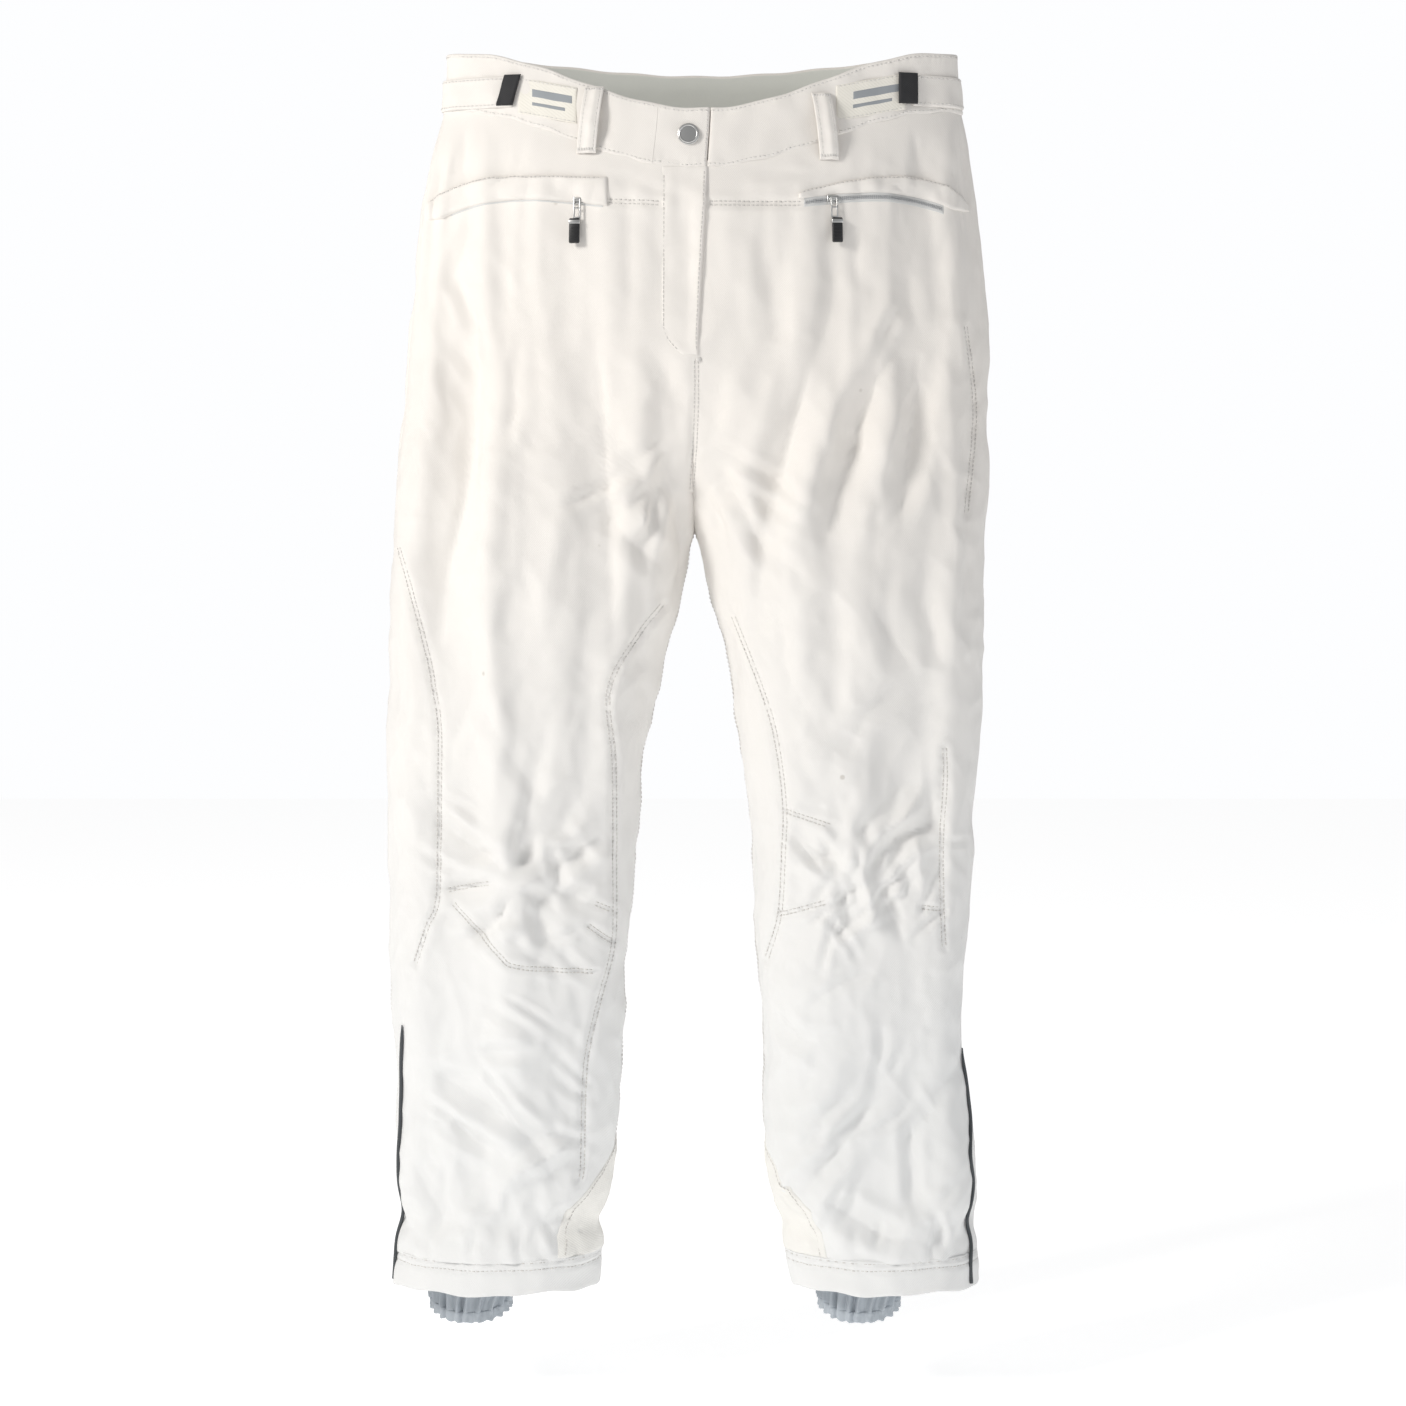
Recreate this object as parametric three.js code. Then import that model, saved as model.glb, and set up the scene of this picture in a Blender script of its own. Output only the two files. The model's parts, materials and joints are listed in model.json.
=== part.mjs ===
// Ski pants, hanging by the waist: an assembly of sewn panels, bands, trims and hardware.
// Millimetres, +Z up. The wearer's front faces -Y and the wearer's left side is +X.
// The origin is the middle of the waist opening, level with its highest edge.
import * as THREE from 'three';
import { mergeVertices } from 'three/addons/utils/BufferGeometryUtils.js';

// ---------- sizes ----------
const GAP = 0.35;             // gap between two pieces that are sewn or seated together
const CLOTH = 1.6;            // shell fabric with its lining
const BAND = 3.0;             // waistband, four layers
const BAND_TALL = 50;         // height of the waistband
const FRONT_DIP = 50;         // how far the front edge sags below the sides
const YOKE_GAP = FRONT_DIP * 0.058; // room under the band, which grows with its curve
const BACK_DIP = 11;          // how far the back edge sags
const HIP_Z = -371;           // the crotch, and the axis that a leg swings about
const KNEE_Z = -715;          // the axis that a shin swings about
const FOLD = 6;               // half height of a folding ring at its axis
const HIP_FRONT = 24;         // slope of the cut at the front of the hip, degrees
const HIP_BACK = 9;           // slope of the cut at the back of the hip
const KNEE_FRONT = 2;         // slope of the cut at the front of the knee
const KNEE_BACK = 39;         // slope of the cut at the back of the knee
const HEM_Z = -1044;          // lower edge of the trouser leg
const HEM_TALL = 30;          // height of the hem band
const GAITER_TOP = HEM_Z + 59;   // where the snow gaiter is sewn to the leg
const GAITER_END = HEM_Z - 22;   // where its elastic begins
const ELASTIC_TALL = 9;       // height of the elastic
const GAITER_X = 37;          // half width of the gathered mouth
const GAITER_Y = 29;          // half depth of the gathered mouth
const GAITER_SHIFT = -22;     // how far the mouth hangs to the wearer's right
const FLY_END = -255;         // lower end of the fly
const ZIP_TALL = 9;           // height of the slot that a pocket zip fills
const SLIDER_W = 5.6;         // height of a pocket slider, less than its slot
const SLIDER_L = 9.5;         // length of a pocket slider
const CELLS = 12;             // cells across a quarter of the hips, and round half a leg
const GUSSET = 2 / CELLS;     // half width of the crotch gusset, as a share of a quarter
const LOOP_W = 15.5;          // width of a belt loop
const LOOP_TALL = BAND_TALL + 5; // height of a belt loop
const LOOP_BOW = 9.5;         // how far a belt loop stands off the band
const STRAP_TALL = 26;        // height of an adjuster strap
const PATCH_TALL = 30;        // height of a waist patch
const CAP_R = 9;              // radius of the snap cap
const STUD_R = 2.6;           // radius of the snap stud
const TAB_ROOT = -35;         // where the waist tab folds
const TAB_END = 8;            // free end of the waist tab
const UNDERLAP = 5.4;         // how deep the underlap lies below the band's face
const PULL_W = 9;             // width of a zip puller

// height, right edge, left edge, half depth, pinch of the sides
const HIPS = [
  [8, -211, 213, 47, 0.25],
  [0, -211, 213, 48, 0.25],
  [-67, -217, 222, 58, 0.2],
  [-122, -237, 230, 66, 0.15],
  [-192, -241, 238, 73, 0.1],
  [-236, -245, 241, 76, 0.03],
  [-300, -248, 238, 77, 0],
  [-371, -251, 237, 78, 0],
  [-400, -252, 235, 78, 0],
];
// height, outer edge, inner edge, half depth
const LEGS = {
  right: [
    [-300, -248, -9, 80],
    [-371, -251, -9.5, 78],
    [-414, -253, -18, 76],
    [-462, -255, -27, 75],
    [-503, -256, -38, 73],
    [-580, -258, -54, 69],
    [-669, -260, -60, 65],
    [-762, -258, -67, 62],
    [-825, -260, -71, 60],
    [-910, -254, -74, 58],
    [-981, -258, -83, 57],
    [-1044, -263, -88, 55],
    [-1090, -263, -88, 55],
  ],
  left: [
    [-300, 238, -2, 80],
    [-371, 237, -1, 78],
    [-435, 232, 15, 76],
    [-503, 231, 31, 73],
    [-555, 229, 37, 70],
    [-609, 228, 45, 67],
    [-711, 222, 50, 64],
    [-767, 216, 54, 62],
    [-803, 214, 56, 61],
    [-865, 217, 58, 59],
    [-932, 231, 60, 58],
    [-978, 237, 68, 57],
    [-1044, 239, 79, 55],
    [-1090, 239, 79, 55],
  ],
};
// distance from the middle, height: the seam that holds the pocket zips
const SEAM = [[0, -130], [80, -128], [150, -122], [190, -127], [231, -141], [260, -146]];
const POCKET = { right: [78, 208], left: [84, 203] };   // ends of each zip, from the middle
const SLIDER_AT = { right: -99.5, left: 109 };          // where each slider rests

// ---------- materials ----------
const matte = (color) => ({ color, roughness: 0.85, metalness: 0 });
const metal = (color) => ({ color, roughness: 0.35, metalness: 1 });
const SHELL = matte(0xe8e6e4);
const INNER = matte(0xebece6);
const CREAM = matte(0xf0eada);
const GREY = matte(0xa5acb4);
const DARK = matte(0x4b5054);
const BLACK = matte(0x17181a);
const SILVER = metal(0xc9ccd0);

const group = new THREE.Group();
group.name = 'ski_pants';

function add(name, geometry, look) {
  const mesh = new THREE.Mesh(geometry, new THREE.MeshStandardMaterial(look));
  mesh.name = name;
  group.add(mesh);
}

// ---------- numbers read between stations ----------
const rad = (degrees) => degrees * Math.PI / 180;
const mix = (a, b, share) => a + (b - a) * share;
const clamp = (value) => Math.min(1, Math.max(0, value));
const ease = (value) => clamp(value) ** 2 * (3 - 2 * clamp(value));

function along(rows, at, column) {
  // A smooth curve through a table whose first column rises or falls.
  const sign = rows[0][0] > rows[1][0] ? -1 : 1;
  let i = 0;
  while (i < rows.length - 2 && sign * rows[i + 1][0] < sign * at) i += 1;
  const r = [rows[Math.max(0, i - 1)], rows[i], rows[i + 1], rows[Math.min(rows.length - 1, i + 2)]];
  const step = r[2][0] - r[1][0];
  const t = clamp((at - r[1][0]) / step);
  const slope = (a, b) => (b[column] - a[column]) / (b[0] - a[0] || 1) * step;
  const m1 = r[0] === r[1] ? slope(r[1], r[2]) : slope(r[0], r[2]);
  const m2 = r[3] === r[2] ? slope(r[1], r[2]) : slope(r[1], r[3]);
  const h = [2 * t ** 3 - 3 * t ** 2 + 1, t ** 3 - 2 * t ** 2 + t, t ** 3 - t ** 2, 3 * t ** 2 - 2 * t ** 3];
  return h[0] * r[1][column] + h[1] * m1 + h[2] * m2 + h[3] * r[2][column];
}

// ---------- the garment's surface ----------
// turn is the angle round a section seen from above: 0 left, 90 back, 180 right, 270 front.
function hipPoint(turn, z) {
  const left = along(HIPS, z, 2);
  const right = along(HIPS, z, 1);
  const s = Math.sin(rad(turn));
  const y = along(HIPS, z, 3) * s * (1 - along(HIPS, z, 4) * (1 - Math.abs(s)));
  return new THREE.Vector3((left + right) / 2 + (left - right) / 2 * Math.cos(rad(turn)), y, z);
}

function legPoint(side, turn, z) {
  const rows = LEGS[side];
  const outer = along(rows, z, 1);
  const inner = along(rows, z, 2);
  const half = Math.abs(outer - inner) / 2;
  const x = (outer + inner) / 2 + half * Math.cos(rad(turn));
  return new THREE.Vector3(x, along(rows, z, 3) * Math.sin(rad(turn)), z);
}

// One quarter of the hips. share runs from 0 at the side seam to 1 at the middle, and the
// surface turns from the wide oval of the hips to the two ovals of the legs.
function turns(side, face, share) {
  const start = side === 'right' ? 180 : (face === 'front' ? 360 : 0);
  const sign = (side === 'right') === (face === 'front') ? 1 : -1;
  return [start + sign * 90 * share, start + sign * 180 * share];
}

function quarterPoint(side, face, share, z) {
  const [wide, round] = turns(side, face, share);
  const split = clamp((-240 - z) / (-240 - HIP_Z)) ** 2.5;
  return hipPoint(wide, z).lerp(legPoint(side, round, z), split);
}

// share of a quarter at which the hips reach x
function shareAt(x, z) {
  const [left, right] = [along(HIPS, z, 2), along(HIPS, z, 1)];
  return Math.acos(clamp(Math.abs(x - (left + right) / 2) / ((left - right) / 2))) / rad(90);
}

const panelEdge = (z) => 1 - GUSSET * ease((-300 - z) / 45);
const frontTop = (x) => -FRONT_DIP * (0.5 + 0.5 * Math.cos(Math.PI * Math.min(1, Math.abs(x) / 212)));
const backTop = (x) => -BACK_DIP * (0.5 + 0.5 * Math.cos(Math.PI * Math.min(1, Math.abs(x) / 212)));
const seamZ = (x) => along(SEAM, Math.abs(x), 1);

// The cut across a leg: a plane through the axis that slopes one way at the front and
// another at the back, so that the two bodies never meet in the joint's range.
function cutZ(axisZ, way, front, back, y) {
  const slope = y < 0 ? Math.tan(rad(front)) : Math.tan(rad(back));
  return axisZ + way * (FOLD + Math.abs(y) * slope);
}

// ---------- solids: a box or a ring laid along a surface ----------
function outward(geometry) {
  geometry.deleteAttribute('normal');
  geometry.deleteAttribute('uv');
  const merged = mergeVertices(geometry, 1e-4);
  const p = merged.attributes.position;
  const index = [...merged.index.array];
  const kept = [];
  let volume = 0;
  const [a, b, c] = [new THREE.Vector3(), new THREE.Vector3(), new THREE.Vector3()];
  for (let i = 0; i < index.length; i += 3) {
    if (index[i] === index[i + 1] || index[i + 1] === index[i + 2] || index[i] === index[i + 2]) continue;
    a.fromBufferAttribute(p, index[i]);
    b.fromBufferAttribute(p, index[i + 1]);
    c.fromBufferAttribute(p, index[i + 2]);
    volume += a.dot(b.cross(c));
    kept.push(index[i], index[i + 1], index[i + 2]);
  }
  if (volume < 0) kept.reverse();
  merged.setIndex(kept);
  merged.computeVertexNormals();
  return merged;
}

// The point a depth above the surface, along its normal.
function lifted(surface, u, v, depth) {
  const e = 0.004;
  const du = surface(Math.min(1, u + e), v).sub(surface(Math.max(0, u - e), v));
  const dv = surface(u, Math.min(1, v + e)).sub(surface(u, Math.max(0, v - e)));
  return surface(u, v).addScaledVector(du.cross(dv).normalize(), depth);
}

// u runs anticlockwise seen from above and v runs up, so that depth is outward.
function slab(surface, nu, nv, low, high) {
  const geometry = new THREE.BoxGeometry(1, 1, 1, nu, nv, 1);
  const p = geometry.attributes.position;
  for (let i = 0; i < p.count; i += 1) {
    const u = p.getX(i) + 0.5;
    const v = p.getY(i) + 0.5;
    const depth = p.getZ(i) > 0 ? high(u, v) : low(u, v);
    const q = lifted(surface, u, v, depth);
    p.setXYZ(i, q.x, q.y, q.z);
  }
  return outward(geometry);
}

function ring(surface, nu, nv, thick, lift = () => 0) {
  const profile = [];
  for (let i = 0; i <= nv; i += 1) profile.push(new THREE.Vector2(2, i / nv));
  for (let i = nv; i >= 0; i -= 1) profile.push(new THREE.Vector2(1, i / nv));
  profile.push(profile[0].clone());
  const geometry = new THREE.LatheGeometry(profile, nu);
  const p = geometry.attributes.position;
  for (let i = 0; i < p.count; i += 1) {
    const radius = Math.hypot(p.getX(i), p.getZ(i));
    const share = (Math.atan2(p.getX(i), p.getZ(i)) / (2 * Math.PI) + 1) % 1;
    const turn = Math.round(share * nu) % nu / nu;
    const v = p.getY(i);
    const q = ringLifted(surface, turn, v, (radius > 1.5 ? 0 : -thick) + lift(v));
    p.setXYZ(i, q.x, q.y, q.z);
  }
  return outward(geometry);
}

function ringLifted(surface, u, v, depth) {
  const e = 0.004;
  const du = surface(u + e, v).sub(surface(u - e, v));
  const dv = surface(u, Math.min(1, v + e)).sub(surface(u, Math.max(0, v - e)));
  return surface(u, v).addScaledVector(du.cross(dv).normalize(), depth);
}

const flat = (depth) => () => depth;

// A band round part of the hips, between two distances from the middle (right is negative),
// with a low and a high edge given as functions of x.
function hipBand(face, from, to, lowEdge, highEdge) {
  return (u, v) => {
    const x = face === 'front' ? mix(from, to, u) : mix(to, from, u);
    const z = mix(lowEdge(x), highEdge(x), v);
    const [left, right] = [along(HIPS, z, 2), along(HIPS, z, 1)];
    const reach = clamp(Math.abs((x - (left + right) / 2) / ((left - right) / 2)));
    const bend = Math.acos(reach) * 180 / Math.PI;
    const isLeft = x > (left + right) / 2;
    if (face === 'front') return hipPoint(isLeft ? 360 - bend : 180 + bend, z);
    return hipPoint(isLeft ? bend : 180 - bend, z);
  };
}

// The same band given by the angle round the section, for pieces that reach the side seam.
function turnBand(from, to, lowEdge, highEdge) {
  return (u, v) => {
    const turn = mix(from, to, u);
    const x = hipPoint(turn, -60).x;
    return hipPoint(turn, mix(lowEdge(x), highEdge(x), v));
  };
}
const turnFor = (x, z = -60) => {
  const [left, right] = [along(HIPS, z, 2), along(HIPS, z, 1)];
  return Math.acos((x - (left + right) / 2) / ((left - right) / 2)) * 180 / Math.PI;
};

// A frame on the surface: x along u, y up the surface, z outward.
function frameOn(surface, u, v, depth) {
  const at = lifted(surface, u, v, depth);
  const e = 0.004;
  const du = surface(u + e, v).sub(surface(u - e, v)).normalize();
  const out = du.clone().cross(surface(u, v + e).sub(surface(u, v - e))).normalize();
  const up = out.clone().cross(du).normalize();
  return new THREE.Matrix4().makeBasis(du, up, out).setPosition(at);
}

// ---------- waist ----------
const edgeAngle = 0.6;  // half of the gap at each side seam, degrees

function waistband() {
  const bottomFront = (x) => frontTop(x) - BAND_TALL;
  const bottomBack = (x) => backTop(x) - BAND_TALL;
  const right = turnBand(180 + edgeAngle, 360 - turnFor(TAB_ROOT - GAP), bottomFront, frontTop);
  add('waistband_front_right', slab(right, 16, 2, flat(-BAND), flat(0)), SHELL);

  // The left half runs on under the tab as the underlap that carries the stud.
  const turnEnd = 360 - turnFor(TAB_END + GAP);
  const turnIn = 360 - turnFor(TAB_ROOT + 1.5);
  const lines = [turnIn, mix(turnIn, turnEnd, 0.5), turnEnd, turnEnd + 1.5];
  const cells = 16;
  while (lines.length <= cells) {
    lines.push(mix(turnEnd + 1.5, 360 - edgeAngle, (lines.length - 3) / (cells - 3)));
  }
  const left = (u, v) => {
    const turn = lerpList(lines, u);
    const x = hipPoint(turn, -60).x;
    return hipPoint(turn, mix(bottomFront(x), frontTop(x), v));
  };
  const sunk = (u) => (u < 2.5 / cells ? -UNDERLAP : 0);
  const low = (u) => (u < 2.5 / cells ? -UNDERLAP - 1.8 : -BAND);
  add('waistband_front_left', slab(left, cells, 2, low, sunk), SHELL);

  const back = turnBand(edgeAngle, 180 - edgeAngle, bottomBack, backTop);
  add('waistband_back', slab(back, 28, 2, flat(-BAND), flat(0)), SHELL);
  const lining = turnBand(14, 166, (x) => bottomBack(x) - 14, (x) => backTop(x) - 2);
  const deep = BAND + 2 * GAP;
  add('waist_facing', slab(lining, 24, 2, flat(-deep - 0.9), flat(-deep)), INNER);

  const tab = turnBand(360 - turnFor(TAB_ROOT), 360 - turnFor(TAB_END), bottomFront, frontTop);
  add('waist_tab', slab(tab, 4, 2, flat(-2.2), flat(0)), SHELL);
  snap(tab);
}

function snap(tab) {
  const [u, v] = [0.61, 0.55];
  const cap = new THREE.LatheGeometry([[0, 0], [CAP_R, 0], [CAP_R, 0.9], [CAP_R * 0.88, 1.9],
    [CAP_R * 0.55, 2.7], [0, 3.1]].map(([r, y]) => new THREE.Vector2(r, y)), 24);
  const socket = new THREE.LatheGeometry([[STUD_R + 0.45, 0], [6, 0], [6, 1.5], [STUD_R + 0.45, 1.5],
    [STUD_R + 0.45, 0]].map(([r, y]) => new THREE.Vector2(r, y)), 20);
  const stud = new THREE.LatheGeometry([[0, 0], [5.6, 0], [5.6, 0.5], [STUD_R, 0.7], [STUD_R, 2.1],
    [0, 2.3]].map(([r, y]) => new THREE.Vector2(r, y)), 20);
  const stand = new THREE.Matrix4().makeRotationX(Math.PI / 2);
  const place = (g, depth) => outward(g.applyMatrix4(frameOn(tab, u, v, depth).multiply(stand)));
  add('snap_cap', place(cap, GAP), SILVER);
  add('snap_socket', place(socket, -2.2 - GAP - 1.5), SILVER);
  add('snap_stud', place(stud, -UNDERLAP + GAP), SILVER);
}

// ---------- shell panels ----------
function slotHalf(side, x) {
  // Half of the seam gap, which opens to the zip slot between the zip's ends.
  const [a, b] = POCKET[side];
  const far = Math.abs(x);
  const inside = clamp((far - a + 3) / 3) * clamp((b + 3 - far) / 3);
  return mix(GAP / 2, ZIP_TALL / 2, inside);
}

function spots(side) {
  // Shares across the front: even, but with a line at each end of the zip slot.
  const sign = side === 'right' ? -1 : 1;
  const [a, b] = POCKET[side];
  const list = Array.from({ length: CELLS + 1 }, (_, i) => i / CELLS);
  const far = Math.round(shareAt(sign * b, -126) * CELLS);
  const near = Math.round(shareAt(sign * a, -126) * CELLS);
  list[far - 1] = shareAt(sign * (b + 3), -126);
  list[far] = shareAt(sign * b, -126);
  list[near] = shareAt(sign * a, -126);
  list[near + 1] = shareAt(sign * (a - 3), -126);
  return [list, list.slice(far, near + 1)];
}

const lerpList = (list, u) => {
  const at = u * (list.length - 1);
  const i = Math.min(list.length - 2, Math.floor(at));
  return mix(list[i], list[i + 1], at - i);
};

function shell(side) {
  const sign = side === 'right' ? -1 : 1;
  const count = CELLS;
  const [list, zipLines] = spots(side);
  const middle = 1 - 0.0015;
  const kept = (share) => Math.min(middle, Math.max(0.0025, share));
  // The lines run evenly where the fold begins, and through the zip's ends at the seam.
  const face = (u, v) => {
    const share = side === 'right' ? u : 1 - u;
    return kept(mix(share, lerpList(list, share), v));
  };
  const xAt = (share, z) => hipPoint(turns(side, 'front', share)[0], z).x;

  const yoke = (u, v) => {
    const share = face(u, 1);
    const top = frontTop(xAt(share, -60)) - BAND_TALL - YOKE_GAP;
    const x = xAt(share, -126);
    return quarterPoint(side, 'front', share, mix(seamZ(x) + slotHalf(side, x), top, v));
  };
  add(`front_yoke_${side}`, slab(yoke, count, 2, flat(-CLOTH), flat(0)), SHELL);

  // Towards the crotch each panel draws back from the middle and leaves room for the gusset.
  const panelPoint = (where, share, v, top) => {
    const turn = turns(side, where, Math.min(share, 1 - GUSSET))[1];
    const low = cutZ(HIP_Z, 1, HIP_FRONT, HIP_BACK, legPoint(side, turn, HIP_Z).y) + GAP / 2;
    const z = mix(low, top, v ** 1.6);
    return quarterPoint(side, where, Math.min(share, panelEdge(z)), z);
  };
  const front = (u, v) => {
    const share = face(u, v);
    const x = xAt(share, -126);
    return panelPoint('front', share, v, seamZ(x) - slotHalf(side, x));
  };
  add(`front_panel_${side}`, slab(front, count, 9, flat(-CLOTH), flat(0)), SHELL);

  const back = (u, v) => {
    const share = kept(side === 'right' ? 1 - u : u);
    const top = backTop(hipPoint(turns(side, 'back', share)[0], -60).x) - BAND_TALL - 1.6;
    return panelPoint('back', share, v, top);
  };
  add(`seat_panel_${side}`, slab(back, count, 11, flat(-CLOTH), flat(0)), SHELL);

  // Pocket: the zip fills the slot, and the bag hangs behind the panel.
  const [a, b] = POCKET[side];
  zipLines[0] += 0.004;
  zipLines[zipLines.length - 1] -= 0.004;
  const zip = (u, v) => {
    const share = lerpList(zipLines, side === 'right' ? u : 1 - u);
    const half = ZIP_TALL / 2 - 3 * GAP;
    return quarterPoint(side, 'front', share, seamZ(xAt(share, -126)) + mix(-half, half, v));
  };
  add(`pocket_zip_${side}`, slab(zip, zipLines.length - 1, 1, flat(-CLOTH), flat(-0.7)), DARK);
  const bagEnds = [shareAt(sign * (b - 8), -126), shareAt(sign * (a + 4), -126)];
  const bag = (u, v) => {
    const share = mix(bagEnds[0], bagEnds[1], side === 'right' ? u : 1 - u);
    return quarterPoint(side, 'front', share, mix(-288, seamZ(xAt(share, -126)) + ZIP_TALL / 2 + 4, v));
  };
  const behind = CLOTH + 3 * GAP;
  add(`pocket_bag_${side}`, slab(bag, 8, 6, flat(-behind - 2.6), flat(-behind)), INNER);

  const at = SLIDER_AT[side];
  const spot = hipBand('front', at - 10, at + 10, (x) => seamZ(x) - 10, (x) => seamZ(x) + 10);
  slider(side, frameOn(spot, 0.5, 0.5, -0.7));
}

function placedBox(size, at, frame, bevel = 0) {
  const [w, h, d] = size;
  const half = new THREE.Shape();
  const c = Math.max(bevel, 0.4);
  half.moveTo(-w / 2 + c, -h / 2).lineTo(w / 2 - c, -h / 2).lineTo(w / 2, -h / 2 + c)
    .lineTo(w / 2, h / 2 - c).lineTo(w / 2 - c, h / 2).lineTo(-w / 2 + c, h / 2)
    .lineTo(-w / 2, h / 2 - c).lineTo(-w / 2, -h / 2 + c).lineTo(-w / 2 + c, -h / 2);
  const geometry = new THREE.ExtrudeGeometry(half, { depth: d, bevelEnabled: false });
  geometry.translate(at[0], at[1], at[2]);
  return outward(geometry.applyMatrix4(frame));
}

function slider(side, frame) {
  const body = placedBox([SLIDER_L, SLIDER_W, 3.4], [0, 0, GAP], frame, 1.4);
  add(`pocket_slider_${side}`, body, SILVER);
  // The puller hangs from the slider: a metal link with a moulded tag on its end.
  const rest = 3.4 + 2 * GAP;
  add(`pocket_link_${side}`, placedBox([PULL_W - 2, 17, 1.4], [0, -7, rest], frame, 1.2), SILVER);
  add(`pocket_tag_${side}`, placedBox([PULL_W, 20, 2], [0, -7 - 8.5 - GAP - 10, rest - 0.3], frame, 1.5), BLACK);
}

function gusset() {
  // A narrow saddle between the four panels, from the front down under and up the back. Its
  // long edges follow the panels first, and then the rims of the two legs.
  const [cells, onPanel] = [7, 5];
  const rim = (side, face, share) => {
    const turn = turns(side, face, share)[1];
    return cutZ(HIP_Z, 1, HIP_FRONT, HIP_BACK, legPoint(side, turn, HIP_Z).y) + 1.2;
  };
  const surface = (u, v) => {
    const face = v < 0.5 ? 'front' : 'back';
    const side = u < 0.5 ? 'right' : 'left';
    const step = (1 - Math.abs(2 * v - 1)) * cells;
    const away = Math.abs(2 * u - 1);
    const low = rim(side, face, 1 - GUSSET);
    let edge = [0, 0];
    if (step <= onPanel) {
      const z = mix(-309, low, step / onPanel);
      edge = [panelEdge(z) + 0.011, z];
    } else {
      const share = mix(1 - GUSSET + 0.011, 1, (step - onPanel) / (cells - onPanel));
      edge = [share, rim(side, face, share)];
    }
    const middleZ = mix(-309, rim(side, face, 1), Math.sin(step / cells * Math.PI / 2));
    const z = mix(middleZ, edge[1], away);
    const q = quarterPoint(side, face, mix(1, edge[0], away), z);
    const own = quarterPoint(side, face, 1, z);
    const other = quarterPoint(side === 'right' ? 'left' : 'right', face, 1, z);
    return q.add(other.sub(own).multiplyScalar(0.5 * (1 - away)));
  };
  const geometry = new THREE.BoxGeometry(1, 1, 1, 4, 2 * cells, 1);
  const p = geometry.attributes.position;
  for (let i = 0; i < p.count; i += 1) {
    const [u, v] = [p.getX(i) + 0.5, p.getY(i) + 0.5];
    const e = 0.01;
    const du = surface(Math.min(1, u + e), v).sub(surface(Math.max(0, u - e), v));
    const dv = surface(u, Math.min(1, v + e)).sub(surface(u, Math.max(0, v - e)));
    const out = dv.cross(du).normalize();
    const q = surface(u, v).addScaledVector(out, p.getZ(i) > 0 ? 0 : -CLOTH);
    p.setXYZ(i, q.x, q.y, q.z);
  }
  return outward(geometry);
}

// ---------- fly ----------
function fly() {
  const top = (x) => frontTop(x) - BAND_TALL - 2;
  const tape = hipBand('front', -9, 9, () => FLY_END + 17, top);
  const under = CLOTH + 2 * GAP;
  add('fly_zip', slab(tape, 3, 7, flat(-under - 1.1), flat(-under)), INNER);
  const guard = hipBand('front', -24, 22, () => FLY_END + 2, top);
  const deep = under + 1.1 + 4.6;
  const sink = (u, v) => -deep + (deep - under - 1.1 - GAP) * ease(1 - v / 0.14);
  add('fly_guard', slab(guard, 6, 10, (u, v) => sink(u, v) - 1, sink), SHELL);
  const spot = hipBand('front', -10, 10, (x) => top(x) - 26, (x) => top(x) - 6);
  const body = placedBox([8, 10, 2.8], [0, 0, -2.8 - GAP], frameOn(spot, 0.5, 0.5, -under - 1.1), 1.5);
  add('fly_slider', body, SILVER);
}

// ---------- trims on the waistband ----------
function beltLoop(side, topX, lowX, topZ) {
  const tall = LOOP_TALL;
  const surface = (u, v) => {
    const middle = mix(lowX, topX, v);
    const x = middle + mix(-LOOP_W / 2, LOOP_W / 2, u);
    const z = mix(topZ - tall, topZ, v);
    return hipPoint(360 - turnFor(x, z), z);
  };
  const bow = (u, v) => GAP + LOOP_BOW * Math.sin(Math.PI * v) ** 0.6;
  add(`belt_loop_${side}`, slab(surface, 2, 12, bow, (u, v) => bow(u, v) + 1.8), SHELL);
}

function patch(side, from, to, z) {
  const lowEdge = (x) => z(x) - PATCH_TALL / 2;
  const highEdge = (x) => z(x) + PATCH_TALL / 2;
  const surface = hipBand('front', from, to, lowEdge, highEdge);
  add(`waist_patch_${side}`, slab(surface, 6, 1, flat(GAP), flat(GAP + 0.9)), CREAM);
}

function adjuster(side, turnA, turnB, z, pullFrom, pullTo) {
  const surface = turnBand(Math.min(turnA, turnB), Math.max(turnA, turnB),
    () => z - STRAP_TALL / 2, () => z + STRAP_TALL / 2);
  add(`adjuster_strap_${side}`, slab(surface, 8, 1, flat(2 * GAP), flat(2 * GAP + 1.5)), SHELL);
  const low = 2 * GAP + 1.5 + GAP;
  const pull = hipBand('front', pullFrom, pullTo, () => z - STRAP_TALL / 2 + 1, () => z + STRAP_TALL / 2 + 1);
  add(`adjuster_pull_${side}`, slab(pull, 3, 1, flat(low), flat(low + 2)), BLACK);
}

// ---------- legs ----------
function tube(side, lowEdge, highEdge, from = 0, to = 360) {
  return (u, v) => {
    const turn = mix(from, to, u);
    const y = legPoint(side, turn, HIP_Z).y;
    return legPoint(side, turn, mix(lowEdge(turn, y), highEdge(turn, y), v));
  };
}

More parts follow.
